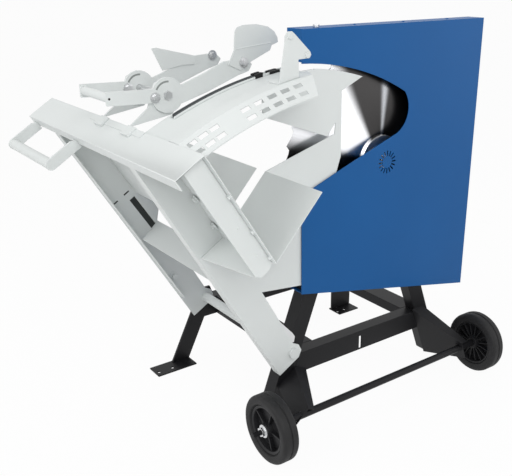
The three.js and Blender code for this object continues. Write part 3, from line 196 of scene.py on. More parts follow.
def solidRubber(name):
    # cured black rubber: dull, with dust in the pores
    material, tree = newMaterial(name)
    point = addNode(tree, "ShaderNodeTexCoord").outputs["Object"]
    dust = addNode(tree, "ShaderNodeTexNoise",
                   {"Scale": 1 / mm(rubber["dustMm"]), "Detail": rubber["dustDetail"]}, {"Vector": point})
    mix = addNode(tree, "ShaderNodeMix",
                  {"data_type": "RGBA", colourA: tone(rubber["clean"]), colourB: tone(rubber["dusty"])},
                  {"Factor": dust.outputs["Fac"]})
    grain = addNode(tree, "ShaderNodeTexNoise",
                    {"Scale": 1 / mm(rubber["grainMm"]), "Detail": rubber["grainDetail"]}, {"Vector": point})
    bump = addNode(tree, "ShaderNodeBump",
                   {"Strength": rubber["grainStrength"], "Distance": mm(rubber["grainDepthMm"])},
                   {"Height": grain.outputs["Fac"]})
    shader = addNode(tree, "ShaderNodeBsdfPrincipled",
                     {"Roughness": rubber["roughness"], "IOR": rubber["ior"],
                      "Specular IOR Level": rubber["gloss"]},
                     {"Base Color": mix.outputs[colourResult], "Normal": bump.outputs["Normal"]})
    addNode(tree, "ShaderNodeOutputMaterial", {}, {"Surface": shader.outputs[0]})
    return material


plastic = {"fineGrainMm": 0.9, "coarseGrainMm": 1.5, "grainDetail": 2, "grainDepthMm": 0.05,
           "grainStrength": 0.3, "ior": 1.46, "gloss": 0.3}


def mouldedPlastic(name, colour, roughness, grainMm=plastic["fineGrainMm"]):
    # moulded polypropylene or ABS: even colour and a fine spark-eroded grain
    material, tree = newMaterial(name)
    point = addNode(tree, "ShaderNodeTexCoord").outputs["Object"]
    grain = addNode(tree, "ShaderNodeTexNoise", {"Scale": 1 / mm(grainMm), "Detail": plastic["grainDetail"]},
                    {"Vector": point})
    bump = addNode(tree, "ShaderNodeBump",
                   {"Strength": plastic["grainStrength"], "Distance": mm(plastic["grainDepthMm"])},
                   {"Height": grain.outputs["Fac"]})
    shader = addNode(tree, "ShaderNodeBsdfPrincipled",
                     {"Base Color": tone(colour), "Roughness": roughness, "IOR": plastic["ior"],
                      "Specular IOR Level": plastic["gloss"]},
                     {"Normal": bump.outputs["Normal"]})
    addNode(tree, "ShaderNodeOutputMaterial", {}, {"Surface": shader.outputs[0]})
    return material


casting = {"skinMm": 3, "skinDetail": 5, "skinDepthMm": 0.3, "skinStrength": 0.4,
           "roughness": 0.5, "ior": 1.5}


def sandCasting(name, colour):
    # painted sand casting: a coarse skin under grey enamel
    material, tree = newMaterial(name)
    point = addNode(tree, "ShaderNodeTexCoord").outputs["Object"]
    skin = addNode(tree, "ShaderNodeTexNoise",
                   {"Scale": 1 / mm(casting["skinMm"]), "Detail": casting["skinDetail"]}, {"Vector": point})
    bump = addNode(tree, "ShaderNodeBump",
                   {"Strength": casting["skinStrength"], "Distance": mm(casting["skinDepthMm"])},
                   {"Height": skin.outputs["Fac"]})
    shader = addNode(tree, "ShaderNodeBsdfPrincipled",
                     {"Base Color": tone(colour), "Roughness": casting["roughness"], "IOR": casting["ior"]},
                     {"Normal": bump.outputs["Normal"]})
    addNode(tree, "ShaderNodeOutputMaterial", {}, {"Surface": shader.outputs[0]})
    return material


bladeBoxLow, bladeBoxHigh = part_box("blade")
finish = {
    "blue_coat": powderCoat("blue powder coat", "125998", "0f518c", 0.42),
    "white_coat": powderCoat("grey white powder coat", "dce0df", "d3d7d6", 0.44),
    "black_coat": powderCoat("black powder coat", "1c1c1e", "161618", 0.42),
    "blade_steel": groundBladeWithPaintedSheen("ground saw steel with painted sheen", (bladeBoxLow + bladeBoxHigh) / 2),
    "zinc_steel": zincPlate("zinc plated steel", "d6d7d8", 0.28),
    "tyre_rubber": solidRubber("solid rubber"),
    "black_plastic": mouldedPlastic("moulded black polypropylene", "19191b", 0.48),
    "motor_cast": sandCasting("grey enamel on a casting", "6c7074"),
    "green_plastic": mouldedPlastic("green moulded cap", "1f8a44", 0.35),
    "red_plastic": mouldedPlastic("red moulded cap", "b02024", 0.35),
}
# real black rubber for the seal ends, and painted shade for the drawn short slots and the grip hole
rubberTrimAndHoleShade = mouldedPlastic("black rubber trim and painted hole shade", "161617", 0.6, plastic["coarseGrainMm"])
# painted shade: a dark grey tone for the sheet that fills the far arm's long slot
paintedLongSlotShade = mouldedPlastic("painted shade in the long slot", "3a3d3c", 0.8)
# painted shade: a grey tone for the arc slots drawn on the clamp discs
paintedDiscSlotShade = mouldedPlastic("painted shade of the disc slots", "8b908e", 0.8)
greySeal = mouldedPlastic("grey brush seal", "4c5052", 0.7, plastic["coarseGrainMm"])
print("materials made")


# pieces
shaping = {"edgeSegments": 2, "edgeAngleDeg": 34, "smoothDeg": 32, "weldMm": 0.02, "flatDeg": 0.6}


def settle(piece, body, slot, material=None):
    piece.data.materials.clear()
    piece.data.materials.append(material or finish[slot])
    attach(piece, body)
    return piece


def smoothShade(mesh, angleDeg):
    for face in mesh.polygons:
        face.use_smooth = True
    mesh.set_sharp_from_angle(angle=math.radians(angleDeg))


def breakEdges(piece, widthMm):
    bevel = piece.modifiers.new("edge", "BEVEL")
    bevel.width = mm(widthMm)
    bevel.segments = shaping["edgeSegments"]
    bevel.limit_method = "ANGLE"
    bevel.angle_limit = math.radians(shaping["edgeAngleDeg"])
    bevel.use_clamp_overlap = True
    bevel.harden_normals = True


def pieceFrom(bm, name, body, slot, bevelMm=0, material=None, angleDeg=shaping["smoothDeg"]):
    bmesh.ops.recalc_face_normals(bm, faces=bm.faces)
    mesh = bpy.data.meshes.new(name)
    bm.to_mesh(mesh)
    bm.free()
    smoothShade(mesh, angleDeg)
    piece = bpy.data.objects.new(name, mesh)
    bpy.context.scene.collection.objects.link(piece)
    if bevelMm:
        breakEdges(piece, bevelMm)
    return settle(piece, body, slot, material)


# flat faces with openings keep their triangles, so that no opening is bridged
leftFaceted = {"trough"}


def dressNode(node, bevelMm):
    # the solid's own shape with its edges broken, as a folded or turned piece has
    bm = bmesh.new()
    bm.from_mesh(frame["nodes"][node].data)
    bmesh.ops.remove_doubles(bm, verts=bm.verts, dist=mm(shaping["weldMm"]))
    if node not in leftFaceted:
        bmesh.ops.dissolve_limit(bm, angle_limit=math.radians(shaping["flatDeg"]), verts=bm.verts,
                                 edges=bm.edges)
    mesh = bpy.data.meshes.new(node + ".shape")
    bm.to_mesh(mesh)
    bm.free()
    smoothShade(mesh, shaping["smoothDeg"])
    piece = bpy.data.objects.new(node + ".shape", mesh)
    bpy.context.scene.collection.objects.link(piece)
    breakEdges(piece, bevelMm)
    settle(piece, bodyOf[node], slotOf[node])
    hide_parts(node)


# width of the broken edge of each piece, in millimetres
edgeWidths = {
    "side_cover": 0.9, "housing_back": 0.9, "trough": 1.1, "near_side_plate": 1.0, "far_arm": 1.0,
    "end_angle": 1.0, "overhang_shelf": 0.9, "cross_plate": 0.9, "pivot_tube": 0.6, "pivot_bolt": 2.0,
    "handle_arm_near": 1.6, "handle_arm_far": 1.6, "handle_bar": 1.2, "guard_roof": 0.8,
    "stand_bracket": 0.9,
    "clamp_bracket_near": 1.2, "clamp_bracket_far": 1.2, "clamp_arm_near": 1.2, "clamp_arm_far": 1.2,
    "clamp_pin": 1.0, "clamp_grip_bar": 0.8, "claw_near": 0.9, "claw_far": 0.9,
    "leg_front_left": 2.4, "leg_front_right": 2.4, "front_beam": 2.4, "rear_beam": 2.4, "left_rail": 2.4,
    "right_rail": 1.6, "rear_leg_left": 1.2, "rear_leg_right": 1.2, "foot_plate_left": 1.0,
    "foot_plate_right": 1.0, "wheel_bracket_left": 1.0, "wheel_bracket_right": 1.0, "axle": 1.2,
    "axle_nut_left": 1.0, "axle_nut_right": 1.0, "cover_bolt": 1.0, "inner_flange": 1.0, "outer_flange": 1.0,
    "arbor_nut": 1.0, "arbor_shaft": 1.0, "motor_shell": 0.9, "motor_end_shield": 1.4, "bearing_front": 0.6,
    "bearing_rear": 0.6, "stator": 1.0, "motor_fan_cover": 0.6, "motor_fan": 0.5, "switch_box": 3.0,
    "start_button": 2.2, "stop_button": 2.2, "power_inlet": 1.0, "blade": 0.25,
}
for nodeName, edgeMm in edgeWidths.items():
    dressNode(nodeName, edgeMm)
print("shaped pieces dressed")


# wheels: a rounded tyre on a ribbed moulded rim, each turned from a profile
wheelSteps = 72
spinWeldMm = 0.01

# shares are of half the tyre's width; the flank's and the shoulder's are of the shoulder's radius
tyre = {
    "seatGap": 0.3, "beadRise": 3, "seatShare": 0.78, "beadShare": 0.94, "flankShare": 1.5, "shoulder": 11,
    "shoulderShare": 0.9, "shoulderSteps": 4, "grooveLip": 3.2, "grooveFloor": 1.4, "groove": 2.6,
    "smoothDeg": 38,
}

# shares are of half the rim's width, of its dish, of its ring's width or of its hub's radius
rim = {
    "bore": 7.9, "hub": 20, "hubLandShare": 0.8, "hubChamfer": 2, "hubFillet": 3, "hubBackShare": 0.9,
    "dish": 9, "hubDishShare": 0.6, "ringDishShare": 0.2, "ring": 9, "ringFillet": 4, "ringLandShare": 0.7,
    "crownShare": 0.78, "crownInset": 2, "seatShare": 0.72, "backRingShare": 0.6, "backRingDishShare": 0.4,
    "backHubDishShare": 0.2, "edge": 0.8,
}
rib = {"innerCount": 16, "innerWidth": 3.4, "outerCount": 5, "outerWidth": 5, "depth": 15, "sunk": 3,
       "taperShare": 0.3, "phaseShare": 0.25, "standOff": 8}


def spinProfile(profile, axisPoint, axis, steps):
    # profile is pairs of radius and place along the axis, closed on itself
    bm = bmesh.new()
    side = Vector((0, 0, 1))
    points = [bm.verts.new(axisPoint + axis * along + side * radius) for radius, along in profile]
    edges = [bm.edges.new((a, b)) for a, b in zip(points, points[1:] + points[:1])]
    bmesh.ops.spin(bm, geom=points + edges, cent=axisPoint, axis=axis, angle=math.tau, steps=steps,
                   use_merge=True, use_duplicate=False)
    bmesh.ops.remove_doubles(bm, verts=bm.verts, dist=mm(spinWeldMm))
    return bm


def dressTyre(side, middle, radius, half, rimRadius):
    inner = rimRadius + mm(tyre["seatGap"])
    shoulder = mm(tyre["shoulder"])
    profile = [(inner, -half * tyre["seatShare"]), (inner + mm(tyre["beadRise"]), -half * tyre["beadShare"]),
               (radius - shoulder * tyre["flankShare"], -half)]
    for i in range(tyre["shoulderSteps"] + 1):
        turn = math.pi / 2 * i / tyre["shoulderSteps"]
        profile.append((radius - shoulder + shoulder * math.sin(turn),
                        -half + shoulder * tyre["shoulderShare"] * (1 - math.cos(turn))))
    profile += [(radius, -mm(tyre["grooveLip"])), (radius - mm(tyre["groove"]), -mm(tyre["grooveFloor"]))]
    profile += [(r, -along) for r, along in reversed(profile)]
    bm = spinProfile(profile, middle, Vector((1, 0, 0)), wheelSteps)
    piece = pieceFrom(bm, "tyre." + side, "wheel_" + side, "tyre_rubber", angleDeg=tyre["smoothDeg"])
    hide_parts("tyre_" + side)


def addRibs(bm, middle, axis, count, widthMm, fromRadius, toRadius):
    # radial ribs that stand on one side of the rim's web
    length = toRadius - fromRadius + 2 * mm(rib["sunk"])
    for i in range(count):
        verts = bmesh.ops.create_cube(bm, size=1)["verts"]
        for vert in verts:
            share = vert.co.z + 0.5
            vert.co = Vector((vert.co.x * mm(rib["depth"]),
                              vert.co.y * mm(widthMm) * (1 - share * rib["taperShare"]),
                              fromRadius - mm(rib["sunk"]) + length * share))
        turn = Matrix.Rotation(math.tau * (i + rib["phaseShare"]) / count, 4, "X")
        place = Matrix.Translation(middle + axis * mm(rib["standOff"]))
        bmesh.ops.transform(bm, matrix=place @ turn, verts=verts)


def dressRim(side, outward, middle, half, rimRadius):
    axis = Vector((outward, 0, 0))
    bore = mm(rim["bore"])
    hub = mm(rim["hub"])
    hubFoot = hub + mm(rim["hubFillet"])
    ring = mm(rim["ring"])
    ringFoot = rimRadius - ring
    dish = mm(rim["dish"])
    profile = [
        (bore, half), (hub * rim["hubLandShare"], half), (hub, half - mm(rim["hubChamfer"])),
        (hubFoot, dish * rim["hubDishShare"]),
        (ringFoot - mm(rim["ringFillet"]), dish * rim["ringDishShare"]),
        (ringFoot, half * rim["ringLandShare"]),
        (rimRadius - mm(rim["crownInset"]), half * rim["crownShare"]),
        (rimRadius, half * rim["seatShare"]), (rimRadius, -half * rim["crownShare"]),
        (rimRadius - ring * rim["backRingShare"], -half * rim["crownShare"]),
        (ringFoot, -dish * rim["backRingDishShare"]), (hubFoot, -dish * rim["backHubDishShare"]),
        (hub, -half * rim["hubBackShare"]), (bore, -half * rim["hubBackShare"]),
    ]
    bm = spinProfile(profile, middle, axis, wheelSteps)
    addRibs(bm, middle, -axis, rib["innerCount"], rib["innerWidth"], hub, ringFoot)
    addRibs(bm, middle, axis, rib["outerCount"], rib["outerWidth"], hub, ringFoot)
    piece = pieceFrom(bm, "rim." + side, "wheel_" + side, "black_plastic", bevelMm=rim["edge"])
    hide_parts("rim_" + side)


for side, outward in (("left", -1), ("right", 1)):
    tyreLow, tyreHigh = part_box("tyre_" + side)
    rimLow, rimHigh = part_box("rim_" + side)
    wheelMiddle = (tyreLow + tyreHigh) / 2
    halfWidth = (tyreHigh.x - tyreLow.x) / 2
    seatRadius = (rimHigh.z - rimLow.z) / 2
    dressTyre(side, wheelMiddle, (tyreHigh.z - tyreLow.z) / 2, halfWidth, seatRadius)
    dressRim(side, outward, wheelMiddle, halfWidth, seatRadius)
print("wheels made")


# fasteners
boltForm = {"washerSides": 24, "washerShare": 0.95, "cornerShare": 0.577, "domeSides": 20, "domeRings": 10,
            "domeSunkShare": 0.1}
wallLean = math.radians(32)  # of the cradle's sloping wall, from upright
wallFoot = {"x": -250, "z": 636}
front = Vector((0, -1, 0))
up = Vector((0, 0, 1))
wallOut = Vector((-math.cos(wallLean), 0, -math.sin(wallLean)))


def onWall(outMm, y, upMm):
    # out from the sloping wall, back from the cover's face and up the wall from its foot
    x = wallFoot["x"] + outMm * math.cos(wallLean) - upMm * math.sin(wallLean)
    z = wallFoot["z"] + outMm * math.sin(wallLean) + upMm * math.cos(wallLean)
    return at(x, y, z)


def hexBolt(bm, place, direction, acrossMm, headMm, washerMm):
    turn = up.rotation_difference(direction).to_matrix().to_4x4()
    if washerMm:
        washerRadius = mm(acrossMm * boltForm["washerShare"])
        made = bmesh.ops.create_cone(bm, cap_ends=True, segments=boltForm["washerSides"],
                                     radius1=washerRadius, radius2=washerRadius, depth=mm(washerMm))
        shift = Matrix.Translation(place + direction * mm(washerMm / 2))
        bmesh.ops.transform(bm, matrix=shift @ turn, verts=made["verts"])
    cornerRadius = mm(acrossMm * boltForm["cornerShare"])
    made = bmesh.ops.create_cone(bm, cap_ends=True, segments=6, radius1=cornerRadius, radius2=cornerRadius,
                                 depth=mm(headMm))
    shift = Matrix.Translation(place + direction * mm(washerMm + headMm / 2))
    bmesh.ops.transform(bm, matrix=shift @ turn, verts=made["verts"])


def domeBolt(bm, place, direction, radiusMm, heightMm):
    turn = up.rotation_difference(direction).to_matrix().to_4x4()
    made = bmesh.ops.create_uvsphere(bm, u_segments=boltForm["domeSides"], v_segments=boltForm["domeRings"],
                                     radius=mm(radiusMm))
    flat = Matrix.Diagonal((1, 1, heightMm / radiusMm, 1))
    bmesh.ops.transform(bm, matrix=Matrix.Translation(place) @ turn @ flat, verts=made["verts"])
    sunk = mm(heightMm * boltForm["domeSunkShare"])
    below = [v for v in made["verts"] if (v.co - place).dot(direction) < -sunk]
    bmesh.ops.delete(bm, geom=below, context="VERTS")


def boltSet(name, body, slot, places, direction, bolt):
    # a bolt is its width across, the height of its head and its washer, if any, or it is a dome
    bm = bmesh.new()
    for place in places:
        if bolt.get("dome"):
            domeBolt(bm, place, direction, bolt["across"] / 2, bolt["head"])
        else:
            hexBolt(bm, place, direction, bolt["across"], bolt["head"], bolt.get("washer", 0))
    pieceFrom(bm, name, body, slot)


# each set's fastener and where it sits, on the sloping wall or from the cover's corner
wallBolt = {"across": 12, "head": 6, "washer": 1.5, "out": -6.2,
            "spots": ((-8.5, 141), (-3.6, 45), (-82, 180))}
wallEdgeBolt = {"across": 9, "head": 4, "washer": 1, "out": -2.9, "y": -222, "rises": (211, 103, 16)}
flangeRivet = {"across": 7, "head": 1.6, "dome": True, "out": -25, "y": -215.1, "rises": (43, 133)}
sidePlateBolt = {"across": 13, "head": 6, "washer": 1.5, "out": -40, "y": 4.9, "rise": -20}
farArmBolt = {"across": 17, "head": 8, "washer": 2, "spot": (-142.7, 511.9, 325)}
coverRivet = {"across": 9, "head": 2.4, "dome": True, "xs": (200, 380, 560), "y": 30, "z": 1130.1}
discBolt = {"across": 14, "head": 6, "washer": 1.6, "spots": ((-361, 108.6, 982), (-358.5, 263.6, 986))}
jawBolt = {"across": 14, "head": 8, "washer": 2.4, "spots": ((-107, 105.3, 1047), (-106, 263.6, 1051))}

boltSet("wallBolts", "cradle", "white_coat",
        [onWall(wallBolt["out"], y, rise) for y, rise in wallBolt["spots"]], wallOut, wallBolt)
boltSet("wallEdgeBolts", "cradle", "white_coat",
        [onWall(wallEdgeBolt["out"], wallEdgeBolt["y"], rise) for rise in wallEdgeBolt["rises"]],
        wallOut, wallEdgeBolt)
boltSet("flangeRivets", "cradle", "white_coat",
        [onWall(flangeRivet["out"], flangeRivet["y"], rise) for rise in flangeRivet["rises"]],
        front, flangeRivet)
boltSet("sidePlateBolt", "cradle", "zinc_steel",
        [onWall(sidePlateBolt["out"], sidePlateBolt["y"], sidePlateBolt["rise"])], front, sidePlateBolt)
boltSet("farArmBolt", "cradle", "white_coat", [at(*farArmBolt["spot"])], front, farArmBolt)
boltSet("coverRivets", "frame", "blue_coat",
        [at(x, coverRivet["y"], coverRivet["z"]) for x in coverRivet["xs"]], up, coverRivet)
boltSet("discBolts", bodyOf["clamp_arm_near"], "zinc_steel",
        [at(*spot) for spot in discBolt["spots"]], front, discBolt)
boltSet("jawBolts", bodyOf["claw_near"], "zinc_steel",
        [at(*spot) for spot in jawBolt["spots"]], front, jawBolt)
print("fasteners made")


# guard roof trims: a lip on each side of the blade's slot, with a seal and two seal ends
roof = {"arcX": 80, "arcZ": -36, "arcRadius": 1082, "slotY": 35, "slotHalf": 8, "trimEdge": 0.5}
slotLip = {"thick": 2.2, "x": (-358, -30), "lift": (-9.8, -4.5), "steps": 24}
slotSeal = {"overlap": 0.2, "width": 5, "x": (-352, -126), "lift": (-12.6, -3), "steps": 24}
sealEnd = {"overlap": 4, "width": 5, "spans": ((-126, -104), (-83, -52)),
           "lifts": ((-9.8, 0.5), (-9.8, -3.5)), "steps": 4}


def roofPoint(x, y, liftMm=0):
    dx = x - roof["arcX"]
    radius = roof["arcRadius"] + liftMm
    return at(x, y, roof["arcZ"] + math.sqrt(radius * radius - dx * dx))


def sectionAt(x, ySpan, lift):
    return [roofPoint(x, ySpan[0], lift[0]), roofPoint(x, ySpan[1], lift[0]),
            roofPoint(x, ySpan[1], lift[1]), roofPoint(x, ySpan[0], lift[1])]


def arcStrip(name, xSpan, ySpan, lift, slot, steps, material=None):
    # a bar of rectangular section laid along the roof's curve
    bm = bmesh.new()
    face = bm.faces.new([bm.verts.new(p) for p in sectionAt(xSpan[0], ySpan, lift)])
    for i in range(1, steps + 1):
        x = xSpan[0] + (xSpan[1] - xSpan[0]) * i / steps
        grown = bmesh.ops.extrude_face_region(bm, geom=[face])["geom"]
        face = [g for g in grown if isinstance(g, bmesh.types.BMFace)][0]
        for vert, end in zip(face.verts, sectionAt(x, ySpan, lift)):
            vert.co = end
    pieceFrom(bm, name, "cradle", slot, bevelMm=roof["trimEdge"], material=material)


for label, inward in (("near", 1), ("far", -1)):
    edgeY = roof["slotY"] - inward * roof["slotHalf"]
    arcStrip("slotEdge." + label, slotLip["x"], sorted((edgeY, edgeY - inward * slotLip["thick"])),
             slotLip["lift"], "white_coat", slotLip["steps"])
    arcStrip("slotSeal." + label, slotSeal["x"],
             sorted((edgeY - inward * slotSeal["overlap"], edgeY + inward * slotSeal["width"])),
             slotSeal["lift"], "black_plastic", slotSeal["steps"], greySeal)
    endSpan = sorted((edgeY - inward * sealEnd["overlap"], edgeY + inward * sealEnd["width"]))
    for number, (xSpan, lift) in enumerate(zip(sealEnd["spans"], sealEnd["lifts"]), 1):
        arcStrip("sealEnd.%s%d" % (label, number), xSpan, endSpan, lift, "black_plastic", sealEnd["steps"],
                 rubberTrimAndHoleShade)
print("roof trims made")


# small plates, slots and a hole drawn in painted shade, and rods
def cutPlate(name, outline, yNear, thickMm, body, slot, material=None, bevelMm=0):
    # a plate drawn in x and z, with its near face at yNear
    bm = bmesh.new()
    face = bm.faces.new([bm.verts.new(at(x, yNear, z)) for x, z in outline])
    grown = bmesh.ops.extrude_face_region(bm, geom=[face])["geom"]
    bmesh.ops.translate(bm, vec=Vector((0, mm(thickMm), 0)),
                        verts=[g for g in grown if isinstance(g, bmesh.types.BMVert)])
    pieceFrom(bm, name, body, slot, bevelMm=bevelMm, material=material)


def roundBar(name, start, end, radiusMm, body, slot, sides):
    bm = bmesh.new()
    along = end - start
    turn = up.rotation_difference(along).to_matrix().to_4x4()
    place = Matrix.Translation((start + end) / 2) @ turn
    bmesh.ops.create_cone(bm, cap_ends=True, segments=sides, radius1=mm(radiusMm), radius2=mm(radiusMm),
                          depth=along.length, matrix=place)
    pieceFrom(bm, name, body, slot)


def wallStrip(outs, rises):
    # a strip between two distances out from the sloping wall and two up it
    corners = ((outs[0], rises[0]), (outs[1], rises[0]), (outs[1], rises[1]), (outs[0], rises[1]))
    points = [onWall(out, 0, rise) - at(0, 0, 0) for out, rise in corners]
    return [(point.x * 1000, point.z * 1000) for point in points]


def slantSlot(x, z, lengthMm, widthMm):
    # a short slot that points away from the sloping wall
    along = (math.cos(wallLean), math.sin(wallLean))
    across = (-along[1], along[0])
    corners = ((-1, -1), (1, -1), (1, 1), (-1, 1))
    return [(x + a * along[0] * lengthMm / 2 + b * across[0] * widthMm / 2,
             z + a * along[1] * lengthMm / 2 + b * across[1] * widthMm / 2) for a, b in corners]


def arcSlot(slot):
    # a slot bent about its middle, its turns measured from upright
    x, z = slot["middle"]
    fromDeg, toDeg = slot["turnDeg"]
    half = slot["width"] / 2
    outer, inner = [], []
    for i in range(slot["steps"] + 1):
        turn = math.radians(fromDeg + (toDeg - fromDeg) * i / slot["steps"])
        for line, radius in ((outer, slot["radius"] + half), (inner, slot["radius"] - half)):
            line.append((x + radius * math.sin(turn), z + radius * math.cos(turn)))
    return outer + inner[::-1]


longSlotShadeSheet = {"outs": (-38, -10), "rises": (-138, -4), "y": 515.1, "thick": 2}
farArmSlot = {"spots": ((-282.6, 635), (-320.9, 610.4)), "length": 20, "width": 4.5, "y": 511.85,
              "thick": 0.4}
discSlot = {"middle": (-327, 985), "radius": 33, "turnDeg": (-62, 8), "width": 4.5, "steps": 10,
            "ys": (("near", 108.55), ("far", 263.55)), "thick": 0.4}
gripHole = {"middle": (-478, 991), "radius": 1.5, "turnDeg": (0, 350), "width": 3, "steps": 10, "y": 108.55,
            "thick": 0.4}
clampBase = {"outs": (-20, -1), "rises": (334.05, 335.8), "y": 36, "length": 292, "edge": 0.4}
catchPlate = {"outline": [(-73, 335), (-27, 284), (-18, 270), (-22, 251), (-32, 256), (-71, 316)], "y": 9,
              "thick": 4, "edge": 0.6}
clawFold = {"start": (-132, 105.3, 1080.5), "end": (-20, 105.3, 1091), "radius": 1.1, "sides": 16}
hubWasher = {"radius": 19, "inside": 0.8, "outside": 2, "sides": 40}

# painted shade: a dark sheet laid in the far arm's long slot
cutPlate("longSlotShadeSheet", wallStrip(longSlotShadeSheet["outs"], longSlotShadeSheet["rises"]), longSlotShadeSheet["y"], longSlotShadeSheet["thick"],
         "cradle", "black_plastic", paintedLongSlotShade)
# painted shade: thin dark plates drawn on the far arm for its short slots
for number, (x, z) in enumerate(farArmSlot["spots"], 1):
    cutPlate("farArmSlot.%d" % number, slantSlot(x, z, farArmSlot["length"], farArmSlot["width"]),
             farArmSlot["y"], farArmSlot["thick"], "cradle", "black_plastic", rubberTrimAndHoleShade)
# painted shade: thin grey plates drawn on the discs for their arc slots
for label, y in discSlot["ys"]:
    cutPlate("discSlot." + label, arcSlot(discSlot), y, discSlot["thick"], bodyOf["clamp_arm_" + label],
             "black_plastic", paintedDiscSlotShade)
# painted shade: a thin dark ring drawn for the hole in the grip arm's end
cutPlate("gripHole", arcSlot(gripHole), gripHole["y"], gripHole["thick"], bodyOf["clamp_arm_near"],
         "black_plastic", rubberTrimAndHoleShade)
cutPlate("clampBase", wallStrip(clampBase["outs"], clampBase["rises"]), clampBase["y"], clampBase["length"],
         "cradle", "white_coat", bevelMm=clampBase["edge"])
cutPlate("catchPlate", catchPlate["outline"], catchPlate["y"], catchPlate["thick"], "cradle", "zinc_steel",
         bevelMm=catchPlate["edge"])
roundBar("clawFold", at(*clawFold["start"]), at(*clawFold["end"]), clawFold["radius"], bodyOf["claw_near"],
         "white_coat", clawFold["sides"])

leftNutLow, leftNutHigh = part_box("axle_nut_left")
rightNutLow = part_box("axle_nut_right")[0]
axleMiddle = (leftNutLow + leftNutHigh) / 2
for side, faceX, outward in (("left", leftNutHigh.x, -1), ("right", rightNutLow.x, 1)):
    hubFace = Vector((faceX, axleMiddle.y, axleMiddle.z))
    roundBar("hubWasher." + side, hubFace - Vector((outward * mm(hubWasher["inside"]), 0, 0)),
             hubFace + Vector((outward * mm(hubWasher["outside"]), 0, 0)), hubWasher["radius"],
             bodyOf["axle"], "zinc_steel", hubWasher["sides"])
print("small plates made")


# motor and switch fittings
terminal = {"half": 36, "near": 126, "length": 74, "rise": 30, "sunk": 16, "edge": 3, "screwInset": 8}
terminalScrew = {"across": 7, "head": 2.4, "dome": True}
gland = {"drop": 16, "inside": 2, "outside": 18, "radius": 9, "sides": 12}
bezel = {"gap": 1.2, "width": 4, "faceWidth": 3.4, "sunk": 0.5, "rise": 2, "steps": 40}
inletPin = {"spots": ((-8, -5), (8, -5), (0, 9)), "drop": 13, "inside": 1, "length": 20, "radius": 2.4,
            "sides": 14}


def blockPiece(name, low, high, body, slot, bevelMm):
    bm = bmesh.new()
    size = high - low
    place = Matrix.Translation((low + high) / 2) @ Matrix.Diagonal((size.x, size.y, size.z, 1))
    bmesh.ops.create_cube(bm, size=1, matrix=place)
    pieceFrom(bm, name, body, slot, bevelMm=bevelMm)


def makeTerminalBox():
    body = bodyOf["motor_shell"]
    shellLow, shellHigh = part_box("motor_shell")
    x = (shellLow.x + shellHigh.x) / 2
    near = coverLow.y + mm(terminal["near"])
    far = near + mm(terminal["length"])
    top = shellHigh.z + mm(terminal["rise"])
    half = mm(terminal["half"])
    blockPiece("terminalBox", Vector((x - half, near, shellHigh.z - mm(terminal["sunk"]))),
               Vector((x + half, far, top)), body, "motor_cast", terminal["edge"])
    inset = mm(terminal["screwInset"])
    corners = [Vector((x + side * (half - inset), y, top))
               for side in (-1, 1) for y in (near + inset, far - inset)]
    boltSet("terminalScrews", body, "zinc_steel", corners, up, terminalScrew)
    mouth = Vector((x + half, (near + far) / 2, top - mm(gland["drop"])))
    roundBar("cableGland", mouth - Vector((mm(gland["inside"]), 0, 0)),
             mouth + Vector((mm(gland["outside"]), 0, 0)), gland["radius"], body, "black_plastic",
             gland["sides"])


def makeSwitchFittings():
    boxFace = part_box("switch_box")[1].y
    for node in ("start_button", "stop_button"):
        low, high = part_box(node)
        middle = (low + high) / 2
        radius = (high.x - low.x) / 2
        inner = radius + mm(bezel["gap"])
        foot = boxFace - mm(bezel["sunk"]) - middle.y
        face = boxFace + mm(bezel["rise"]) - middle.y
        ring = spinProfile([(inner, foot), (radius + mm(bezel["width"]), foot),
                            (radius + mm(bezel["faceWidth"]), face), (inner, face)],
                           middle, Vector((0, 1, 0)), bezel["steps"])
        pieceFrom(ring, "bezel." + node, bodyOf["switch_box"], "zinc_steel")
    inletLow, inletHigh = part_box("power_inlet")
    middle = (inletLow + inletHigh) / 2
    top = inletHigh.z - mm(inletPin["drop"])
    for number, (x, y) in enumerate(inletPin["spots"], 1):
        foot = Vector((middle.x + mm(x), middle.y + mm(y), top))
        roundBar("inletPin.%d" % number, foot + Vector((0, 0, mm(inletPin["inside"]))),
                 foot - Vector((0, 0, mm(inletPin["length"]))), inletPin["radius"], bodyOf["power_inlet"],
                 "zinc_steel", inletPin["sides"])


makeTerminalBox()
makeSwitchFittings()
print("motor and switch fittings made")


# floor, light and camera
floorPaper = {"radius": 60, "sides": 96, "grey": 0.86, "paperShare": 0.95}
studio = {"worldStrength": 0.5, "paperStrength": 1.0, "aimHeight": 0.6}
lamps = {
    "key": {"place": (-1.4, -3.0, 2.6), "size": (2.4, 2.4), "power": 60},
    "top": {"place": (0.4, 0.6, 3.6), "size": (3.0, 3.0), "power": 14},
    "side": {"place": (-3.2, 0.1, 2.3), "size": (2.4, 2.4), "power": 38},
    "fill": {"place": (3.2, -2.4, 1.4), "size": (2.0, 2.4), "power": 20},
}
photograph = {"sensor": 36, "lens": 52.31, "shiftX": -0.0889, "shiftY": 0.0684, "reach": 200,
              "place": (-1178.7, -1551.8, 1284.3), "tiltDeg": 90 - 22.68, "headingDeg": -37.2}


def paperPart(tree, part):
    # the rays that see the background paper: the camera's, and those of metal and glass
    path = addNode(tree, "ShaderNodeLightPath")
    mirrored = addNode(tree, "ShaderNodeMath", {"operation": "MAXIMUM"},
                       {0: path.outputs["Is Camera Ray"], 1: path.outputs["Is Glossy Ray"]})
    seen = addNode(tree, "ShaderNodeMath", {"operation": "MAXIMUM"},
                   {0: mirrored.outputs["Value"], 1: path.outputs["Is Transmission Ray"]})
    scaled = addNode(tree, "ShaderNodeMath", {"operation": "MULTIPLY", 1: part}, {0: seen.outputs["Value"]})
    return scaled.outputs["Value"]


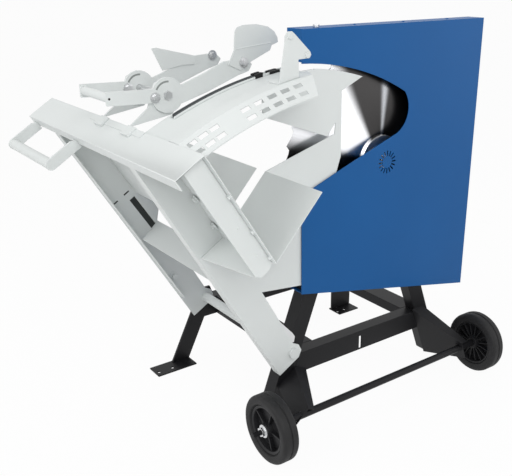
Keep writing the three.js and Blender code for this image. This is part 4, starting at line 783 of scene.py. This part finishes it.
def makeFloor():
    # white paper that keeps a little of the saw's shadow
    bm = bmesh.new()
    bmesh.ops.create_circle(bm, cap_ends=True, segments=floorPaper["sides"], radius=floorPaper["radius"])
    mesh = bpy.data.meshes.new("studioFloor")
    bm.to_mesh(mesh)
    bm.free()
    floor = bpy.data.objects.new("studioFloor", mesh)
    bpy.context.scene.collection.objects.link(floor)
    material, tree = newMaterial("white paper floor")
    diffuse = addNode(tree, "ShaderNodeBsdfDiffuse", {"Color": [floorPaper["grey"]] * 3 + [1]})
    glow = addNode(tree, "ShaderNodeEmission", {"Color": (1, 1, 1, 1), "Strength": studio["paperStrength"]})
    part = paperPart(tree, floorPaper["paperShare"])
    mix = addNode(tree, "ShaderNodeMixShader", {},
                  {"Fac": part, 1: diffuse.outputs[0], 2: glow.outputs[0]})
    addNode(tree, "ShaderNodeOutputMaterial", {}, {"Surface": mix.outputs[0]})
    mesh.materials.append(material)


def makeWorld():
    world = bpy.data.worlds.new("studio")
    bpy.context.scene.world = world
    world.use_nodes = True
    tree = world.node_tree
    tree.nodes.clear()
    soft = addNode(tree, "ShaderNodeBackground",
                   {"Color": (1, 1, 1, 1), "Strength": studio["worldStrength"]})
    paper = addNode(tree, "ShaderNodeBackground",
                    {"Color": (1, 1, 1, 1), "Strength": studio["paperStrength"]})
    mix = addNode(tree, "ShaderNodeMixShader", {},
                  {"Fac": paperPart(tree, 1), 1: soft.outputs[0], 2: paper.outputs[0]})
    addNode(tree, "ShaderNodeOutputWorld", {}, {"Surface": mix.outputs[0]})


def hangLamp(name, lamp):
    light = bpy.data.lights.new(name, "AREA")
    light.shape = "RECTANGLE"
    light.size, light.size_y = lamp["size"]
    light.energy = lamp["power"]
    place = Vector(lamp["place"])
    aim = Vector((0, 0, studio["aimHeight"]))
    hung = bpy.data.objects.new(name, light)
    hung.location = place
    hung.rotation_euler = (aim - place).to_track_quat("-Z", "Y").to_euler()
    bpy.context.scene.collection.objects.link(hung)


def makeCamera():
    view = bpy.data.cameras.new("photograph")
    view.sensor_width = photograph["sensor"]
    view.lens = photograph["lens"]
    view.shift_x = photograph["shiftX"]
    view.shift_y = photograph["shiftY"]
    view.clip_end = photograph["reach"]
    camera = bpy.data.objects.new("photograph", view)
    camera.location = at(*photograph["place"])
    camera.rotation_euler = (math.radians(photograph["tiltDeg"]), 0, math.radians(photograph["headingDeg"]))
    bpy.context.scene.collection.objects.link(camera)
    bpy.context.scene.camera = camera


makeFloor()
makeWorld()
for lampName, lamp in lamps.items():
    hangLamp(lampName, lamp)
makeCamera()
bpy.context.scene.view_settings.view_transform = "Standard"
print("stage set")
